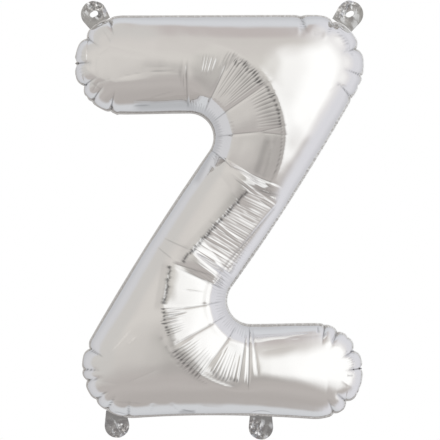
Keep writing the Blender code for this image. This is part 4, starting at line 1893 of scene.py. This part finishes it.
@dataclass(frozen=True)
class FilmFinish:
    """Bright metallised film: what it sends back, bright or dull by a faint tint, and how hazy it is.

    Film with painted shade takes its points' own painted shade and highlights, and film with painted glints
    gets white glints where it is crumpled.
    """

    name: str
    bright: Colour
    dull: Colour
    haze: float
    crinkle: float
    scale: float
    painted_shade: bool = False
    painted_glints: bool = False
    # The colour that painted shade blends towards; then the painted glints' colour, size and spread.
    painted_shade_colour: Colour = (0.10, 0.10, 0.105)
    glint_colour: Colour = (0.93, 0.93, 0.93)
    glint_scale: float = 420.0
    glint_limits: Span = (0.53, 0.66)

    def build(self, grain: bpy.types.NodeTree) -> bpy.types.Material:
        """The finish as a material.

        Args:
            grain: The group that gives haze, tint and crinkle.

        Returns:
            The new material.
        """
        made = bpy.data.materials.new(self.name)
        made.use_nodes = True
        nodes = Nodes(made.node_tree)
        shader = made.node_tree.nodes["Principled BSDF"]
        group = nodes.add("ShaderNodeGroup", node_tree=grain)
        group.inputs["Scale"].default_value = self.scale
        group.inputs["Haze"].default_value = self.haze
        group.inputs["Crinkle"].default_value = self.crinkle
        shader.inputs["Metallic"].default_value = 1.0
        colour = nodes.mix(group.outputs["Tint"], self.dull, self.bright)
        # Painted shade in the creases and shaded strips, read from the points, blends the colour towards near
        # black.
        if self.painted_shade:
            marked = nodes.add("ShaderNodeAttribute", attribute_name="painted_shade")
            colour = nodes.mix(marked.outputs["Fac"], colour, self.painted_shade_colour)
            # Painted shade below zero is a painted highlight, so the blend isn't held to 0 to 1.
            colour.node.clamp_factor = False
        # Painted glints: white spots where the film is crumpled.
        if self.painted_glints:
            marked = nodes.add("ShaderNodeAttribute", attribute_name="crumpled")
            place = nodes.add("ShaderNodeTexCoord").outputs["Object"]
            glints = nodes.ramp(nodes.cloud(self.glint_scale, detail=1.5, place=place), *self.glint_limits)
            colour = nodes.mix(nodes.product(glints, marked.outputs["Fac"]), colour, self.glint_colour)
        nodes.feed(shader.inputs["Base Color"], colour)
        nodes.feed(shader.inputs["Roughness"], group.outputs["Roughness"])
        nodes.feed(shader.inputs["Normal"], group.outputs["Normal"])
        return made


MIRROR_FILM = FilmFinish(
    "mirror_film", (0.87, 0.865, 0.86), (0.85, 0.845, 0.84), haze=0.07, crinkle=0.04, scale=70.0, painted_shade=True
)
SEAM_FILM = FilmFinish(
    "seam_film", (0.80, 0.80, 0.81), (0.62, 0.62, 0.63), haze=0.14, crinkle=0.30, scale=400.0
)
HANGING_TAB_FILM = FilmFinish(
    "tab_film", (0.54, 0.54, 0.54), (0.50, 0.50, 0.50), haze=0.11, crinkle=0.15, scale=260.0, painted_glints=True
)
# A darker copy of the tab film: painted shade for the two lower tabs.
SHADED_LOWER_TAB_FILM = FilmFinish(
    "lower_tab_film", (0.42, 0.42, 0.43), (0.35, 0.35, 0.36), haze=0.14, crinkle=0.1, scale=260.0,
    painted_glints=True,
)


# The studio


# What the film shows of the room in front and of the sweep behind, in steps of 255, by height
# from 0 straight below to 1 straight above.
WALL_TONES = (
    (0.02, (176, 171, 168)), (0.16, (183, 178, 175)), (0.25, (180, 175, 172)),
    (0.345, (173, 169, 166)), (0.45, (183, 180, 176)), (0.655, (207, 204, 199)),
    (0.76, (203, 199, 195)), (0.92, (201, 197, 193)), (1.00, (188, 181, 179)),
)
SWEEP_TONES = (
    (0.05, (205, 207, 210)), (0.35, (203, 205, 209)),
    (0.55, (200, 203, 208)), (0.95, (208, 210, 214)),
)


def shown(step: int) -> float:
    """The light that shows as a step of 255 on a screen, by the usual screen curve."""
    part = step / 255
    return part / 12.92 if part <= 0.04045 else ((part + 0.055) / 1.055) ** 2.4


class Look(NamedTuple):
    """The direction that is looked in: its parts to the right, to the back and up, each from -1 to 1."""

    right: bpy.types.NodeSocket
    back: bpy.types.NodeSocket
    up: bpy.types.NodeSocket


@dataclass(frozen=True)
class Room:
    """What the film reflects: a warm grey room in front, a cool white sweep behind, and a large soft light.

    A span gives where a soft step over one part of the direction that is looked in starts and ends.
    """

    sent_back: float = 0.86
    lit_tone: Steps = (211, 207, 203)
    lit_left: Span = (0.02, 0.36)
    lit_up: Span = (-0.60, -0.15)
    lit_share: float = 0.55
    turned_tone: Steps = (198, 196, 193)
    turned_back: Span = (-0.65, -0.20)
    turned_share: float = 0.8
    beside_tone: Steps = (228, 226, 226)
    beside_back: Span = (-0.70, -0.10)
    beside_right: Span = (0.1, 0.5)
    beside_up: Span = (-0.60, -0.42)
    right_tone: Steps = (216, 216, 221)
    right_from: Span = (0.0, 0.5)
    left_tone: Steps = (204, 204, 207)
    left_from: Span = (0.3, 0.7)
    rear_tone: Steps = (178, 178, 181)
    rear_back: Span = (0.5, 1.0)
    rear_up: Span = (-0.95, -0.25)
    rear_share: float = 0.6
    sweep_edge: Span = (0.15, 0.42)
    sweep_edge_right: Span = (-0.25, 0.35)
    glow: Colour = (1.18, 1.18, 1.17)
    glow_steps: tuple[tuple[Span, float], ...] = (((0.02, 0.18), 0.75), ((0.2, 0.5), 0.25))
    glow_inner: Span = (-0.12, 0.22)
    glow_low_lean: float = 0.577
    glow_low: Span = (-0.42, 0.16)
    glow_top_lean: float = 0.5
    glow_top: Span = (0.75, 0.25)
    glow_back: Span = (-0.02, -0.45)

    def tone(self, steps: Steps) -> Colour:
        """The light that the film turns into these steps of 255."""
        red, green, blue = (shown(step) / self.sent_back for step in steps)
        return (red, green, blue)

    def colour(self, nodes: Nodes) -> bpy.types.NodeSocket:
        """The room's colour in every direction: the wall, the sweep behind it, and the light over both.

        Args:
            nodes: The world's nodes.

        Returns:
            The colour.
        """
        parts = nodes.add("ShaderNodeSeparateXYZ")
        nodes.feed(parts.inputs[0], nodes.add("ShaderNodeTexCoord").outputs["Generated"])
        look = Look(parts.outputs[0], parts.outputs[1], parts.outputs[2])
        to_right = nodes.ramp(look.right, *self.right_from)
        behind = nodes.math(
            "ADD",
            nodes.product(nodes.ramp(look.back, *self.sweep_edge), nodes.math("SUBTRACT", 1.0, to_right)),
            nodes.product(nodes.ramp(look.back, *self.sweep_edge_right), to_right),
        )
        both = nodes.mix(behind, self.wall(nodes, look), self.sweep(nodes, look))
        return nodes.mix(self.light(nodes, look), both, self.glow)

    def bands(
        self, nodes: Nodes, up: bpy.types.NodeSocket, tones: Sequence[tuple[float, Steps]]
    ) -> bpy.types.NodeSocket:
        """Tones by height, which is half the part that points up plus a half.

        Args:
            nodes: The world's nodes.
            up: How far the direction points up.
            tones: Heights and the tone at each.

        Returns:
            The colour.
        """
        height = nodes.math("MULTIPLY_ADD", up, 0.5, 0.5)
        return nodes.bands(height, [(place, self.tone(steps)) for place, steps in tones])

    def wall(self, nodes: Nodes, look: Look) -> bpy.types.NodeSocket:
        """The room in front: bands by height, lighter to the left and beside the balloon on the right.

        Args:
            nodes: The world's nodes.
            look: The direction that is looked in.

        Returns:
            The colour.
        """
        left = nodes.product(look.right, -1.0)
        lit = nodes.product(nodes.ramp(left, *self.lit_left), nodes.ramp(look.up, *self.lit_up))
        wall = self.bands(nodes, look.up, WALL_TONES)
        wall = nodes.mix(nodes.product(lit, self.lit_share), wall, self.tone(self.lit_tone))
        turned = nodes.product(nodes.ramp(look.back, *self.turned_back), lit, self.turned_share)
        wall = nodes.mix(turned, wall, self.tone(self.turned_tone))
        beside_it = nodes.product(
            nodes.ramp(look.back, *self.beside_back),
            nodes.ramp(look.right, *self.beside_right),
            nodes.ramp(look.up, *self.beside_up),
        )
        return nodes.mix(beside_it, wall, self.tone(self.beside_tone))

    def sweep(self, nodes: Nodes, look: Look) -> bpy.types.NodeSocket:
        """The sweep behind: bands by height, lighter to the right and darker straight to the rear.

        Args:
            nodes: The world's nodes.
            look: The direction that is looked in.

        Returns:
            The colour.
        """
        left = nodes.product(look.right, -1.0)
        sweep = self.bands(nodes, look.up, SWEEP_TONES)
        sweep = nodes.mix(nodes.ramp(look.right, *self.right_from), sweep, self.tone(self.right_tone))
        sweep = nodes.mix(nodes.ramp(left, *self.left_from), sweep, self.tone(self.left_tone))
        rear = nodes.product(nodes.ramp(look.back, *self.rear_back), nodes.ramp(look.up, *self.rear_up))
        return nodes.mix(nodes.product(rear, self.rear_share), sweep, self.tone(self.rear_tone))

    def light(self, nodes: Nodes, look: Look) -> bpy.types.NodeSocket:
        """How much of the large soft light there is: the product of soft steps over its slanting edges.

        Args:
            nodes: The world's nodes.
            look: The direction that is looked in.

        Returns:
            A share from 0 to 1.
        """
        first, second = (
            nodes.product(nodes.ramp(look.right, *span), share) for span, share in self.glow_steps
        )
        low_edge = nodes.math("ADD", look.up, nodes.product(look.right, self.glow_low_lean))
        top_edge = nodes.math("SUBTRACT", look.up, nodes.product(look.right, self.glow_top_lean))
        return nodes.product(
            nodes.math("ADD", first, second),
            nodes.ramp(nodes.math("ADD", look.right, look.up), *self.glow_inner),
            nodes.ramp(low_edge, *self.glow_low),
            nodes.ramp(top_edge, *self.glow_top),
            nodes.ramp(look.back, *self.glow_back),
        )


@dataclass(frozen=True)
class Studio:
    """The camera, the room that the film reflects, and a pale floor far below."""

    room: Room = Room()
    aim: tuple[float, float, float] = (-0.00172, 0.0, -0.17742)
    distance: float = 2.0
    frame_width: float = 0.3784
    sensor: float = 36.0
    farthest: float = 20.0
    floor_drop: float = -0.78
    floor_reach: float = 4.2
    floor_core: float = 0.9
    floor_corners: int = 128
    floor_tints: tuple[Colour, Colour] = ((0.93, 0.93, 0.93), (0.96, 0.96, 0.955))
    floor_roughness: float = 0.9
    floor_blots: float = 3.0

    def camera(self) -> None:
        """The camera, straight in front and far off."""
        lens = bpy.data.cameras.new("camera")
        lens.sensor_width = self.sensor
        lens.lens = self.sensor * self.distance / self.frame_width
        lens.clip_end = self.farthest
        made = bpy.data.objects.new("camera", lens)
        made.location = (self.aim[0], self.aim[1] - self.distance, self.aim[2])
        made.rotation_euler = (math.radians(90), 0.0, 0.0)
        bpy.context.scene.collection.objects.link(made)
        bpy.context.scene.camera = made

    def surroundings(self) -> None:
        """The world: plain white where the camera looks past the balloon, the room in the reflections."""
        world = bpy.data.worlds.new("studio")
        bpy.context.scene.world = world
        world.use_nodes = True
        world.node_tree.nodes.clear()
        nodes = Nodes(world.node_tree)
        seen = nodes.add("ShaderNodeLightPath").outputs["Is Camera Ray"]
        shade = nodes.add("ShaderNodeBackground")
        nodes.feed(shade.inputs["Color"], nodes.mix(seen, self.room.colour(nodes), (1.0, 1.0, 1.0)))
        out = nodes.add("ShaderNodeOutputWorld")
        nodes.feed(out.inputs["Surface"], shade.outputs[0])

    def floor_finish(self) -> bpy.types.Material:
        """Pale paper, clear from below and past the floor's reach, and fading out from its core.

        Returns:
            The new material.
        """
        finish = bpy.data.materials.new("floor_paper")
        finish.use_nodes = True
        nodes = Nodes(finish.node_tree)
        shader = finish.node_tree.nodes["Principled BSDF"]
        shader.inputs["Roughness"].default_value = self.floor_roughness
        blots = nodes.cloud(self.floor_blots, detail=2.0)
        nodes.feed(shader.inputs["Base Color"], nodes.mix(blots, *self.floor_tints))
        away = nodes.add("ShaderNodeVectorMath", operation="LENGTH")
        nodes.feed(away.inputs[0], nodes.add("ShaderNodeTexCoord").outputs["Object"])
        faded = nodes.ramp(away.outputs["Value"], self.floor_reach, self.floor_core)
        below = nodes.add("ShaderNodeNewGeometry").outputs["Backfacing"]
        above = nodes.math("SUBTRACT", 1.0, below)
        nodes.feed(shader.inputs["Alpha"], nodes.product(faded, above))
        return finish

    def floor(self) -> None:
        """The floor, a disc that stays out of the film's reflections."""
        angle = np.linspace(0.0, 2 * math.pi, self.floor_corners, endpoint=False)
        edge = np.stack([np.cos(angle), np.sin(angle), np.full(angle.shape, self.floor_drop)], axis=1)
        edge[:, :2] *= self.floor_reach
        mesh = bpy.data.meshes.new("floor")
        mesh.from_pydata(edge.tolist(), [], [tuple(range(self.floor_corners))])
        made = into_scene("floor", mesh, self.floor_finish())
        made.visible_glossy = False

    def build(self) -> None:
        """Camera, surroundings and floor."""
        scene = bpy.context.scene
        scene.view_settings.view_transform = "Standard"
        scene.view_settings.look = "None"
        self.camera()
        self.surroundings()
        self.floor()


def flaps(letter: Letter) -> tuple[TabFilm, ...]:
    """The four tabs, each with its root just past the letter's edge.

    Args:
        letter: The letter whose edge they hang on.

    Returns:
        The two hanging tabs, the lower tab and the filling tab.
    """
    past_edge = 0.0003
    return (
        TabFilm(
            "left_tab_film",
            "hanging_tab_left",
            "left_tab",
            beside(letter.left_end, 119.9, letter.left_end_radius + past_edge),
            outward=119.9, half_width=0.0100, head=(-0.1101, -0.0003), radius=0.0112,
            hole=0.0030, seed=3, crumple=0.34, smooth_side=235.0,
        ),
        TabFilm(
            "right_tab_film",
            "hanging_tab_right",
            "right_tab",
            beside(letter.upper_corner, 55.0, letter.upper_corner_radius + past_edge),
            outward=55.0, half_width=0.0100, head=(0.1101, -0.0003), radius=0.0114,
            hole=0.0030, seed=4, crumple=0.34, smooth_side=315.0,
        ),
        TabFilm(
            "lower_tab_film",
            "lower_tab",
            "lower_left_tab",
            beside(letter.lower_corner, 251.0, letter.lower_corner_radius + past_edge),
            outward=251.0, half_width=0.0098, head=(-0.0903, -0.3541), radius=0.0106,
            hole=0.0, seed=6, crumple=0.30, smooth_side=150.0,
        ),
        TabFilm(
            "filling_tab_film",
            "filling_tab",
            "valve_tab",
            (0.0335, -0.3466),
            outward=270.0, half_width=0.0095, head=(0.0335, -0.3558), radius=0.0105,
            hole=0.0, seed=8, crumple=0.30, smooth_side=20.0,
        ),
    )


def main() -> None:
    """Builds the balloon's films, rim and tabs, dresses them, and sets the studio round them."""
    logging.basicConfig(level=logging.INFO, format="%(name)s: %(message)s")
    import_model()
    grain = film_grain()
    mirror, rim = MIRROR_FILM.build(grain), SEAM_FILM.build(grain)
    hanging, lower = HANGING_TAB_FILM.build(grain), SHADED_LOWER_TAB_FILM.build(grain)
    letter = Letter()
    lattice = Lattice(letter)
    swelling = Swelling()
    FilmPanel(lattice, swelling, Side.FRONT, "front_film", "front_panel").build(mirror)
    FilmPanel(lattice, swelling, Side.BACK, "back_film", "back_panel").build(mirror)
    SeamRim(lattice).build(rim)
    for flap in flaps(letter):
        flap.build(hanging if flap.hole > 0 else lower)
    Studio().build()


if __name__ == "__main__":
    main()
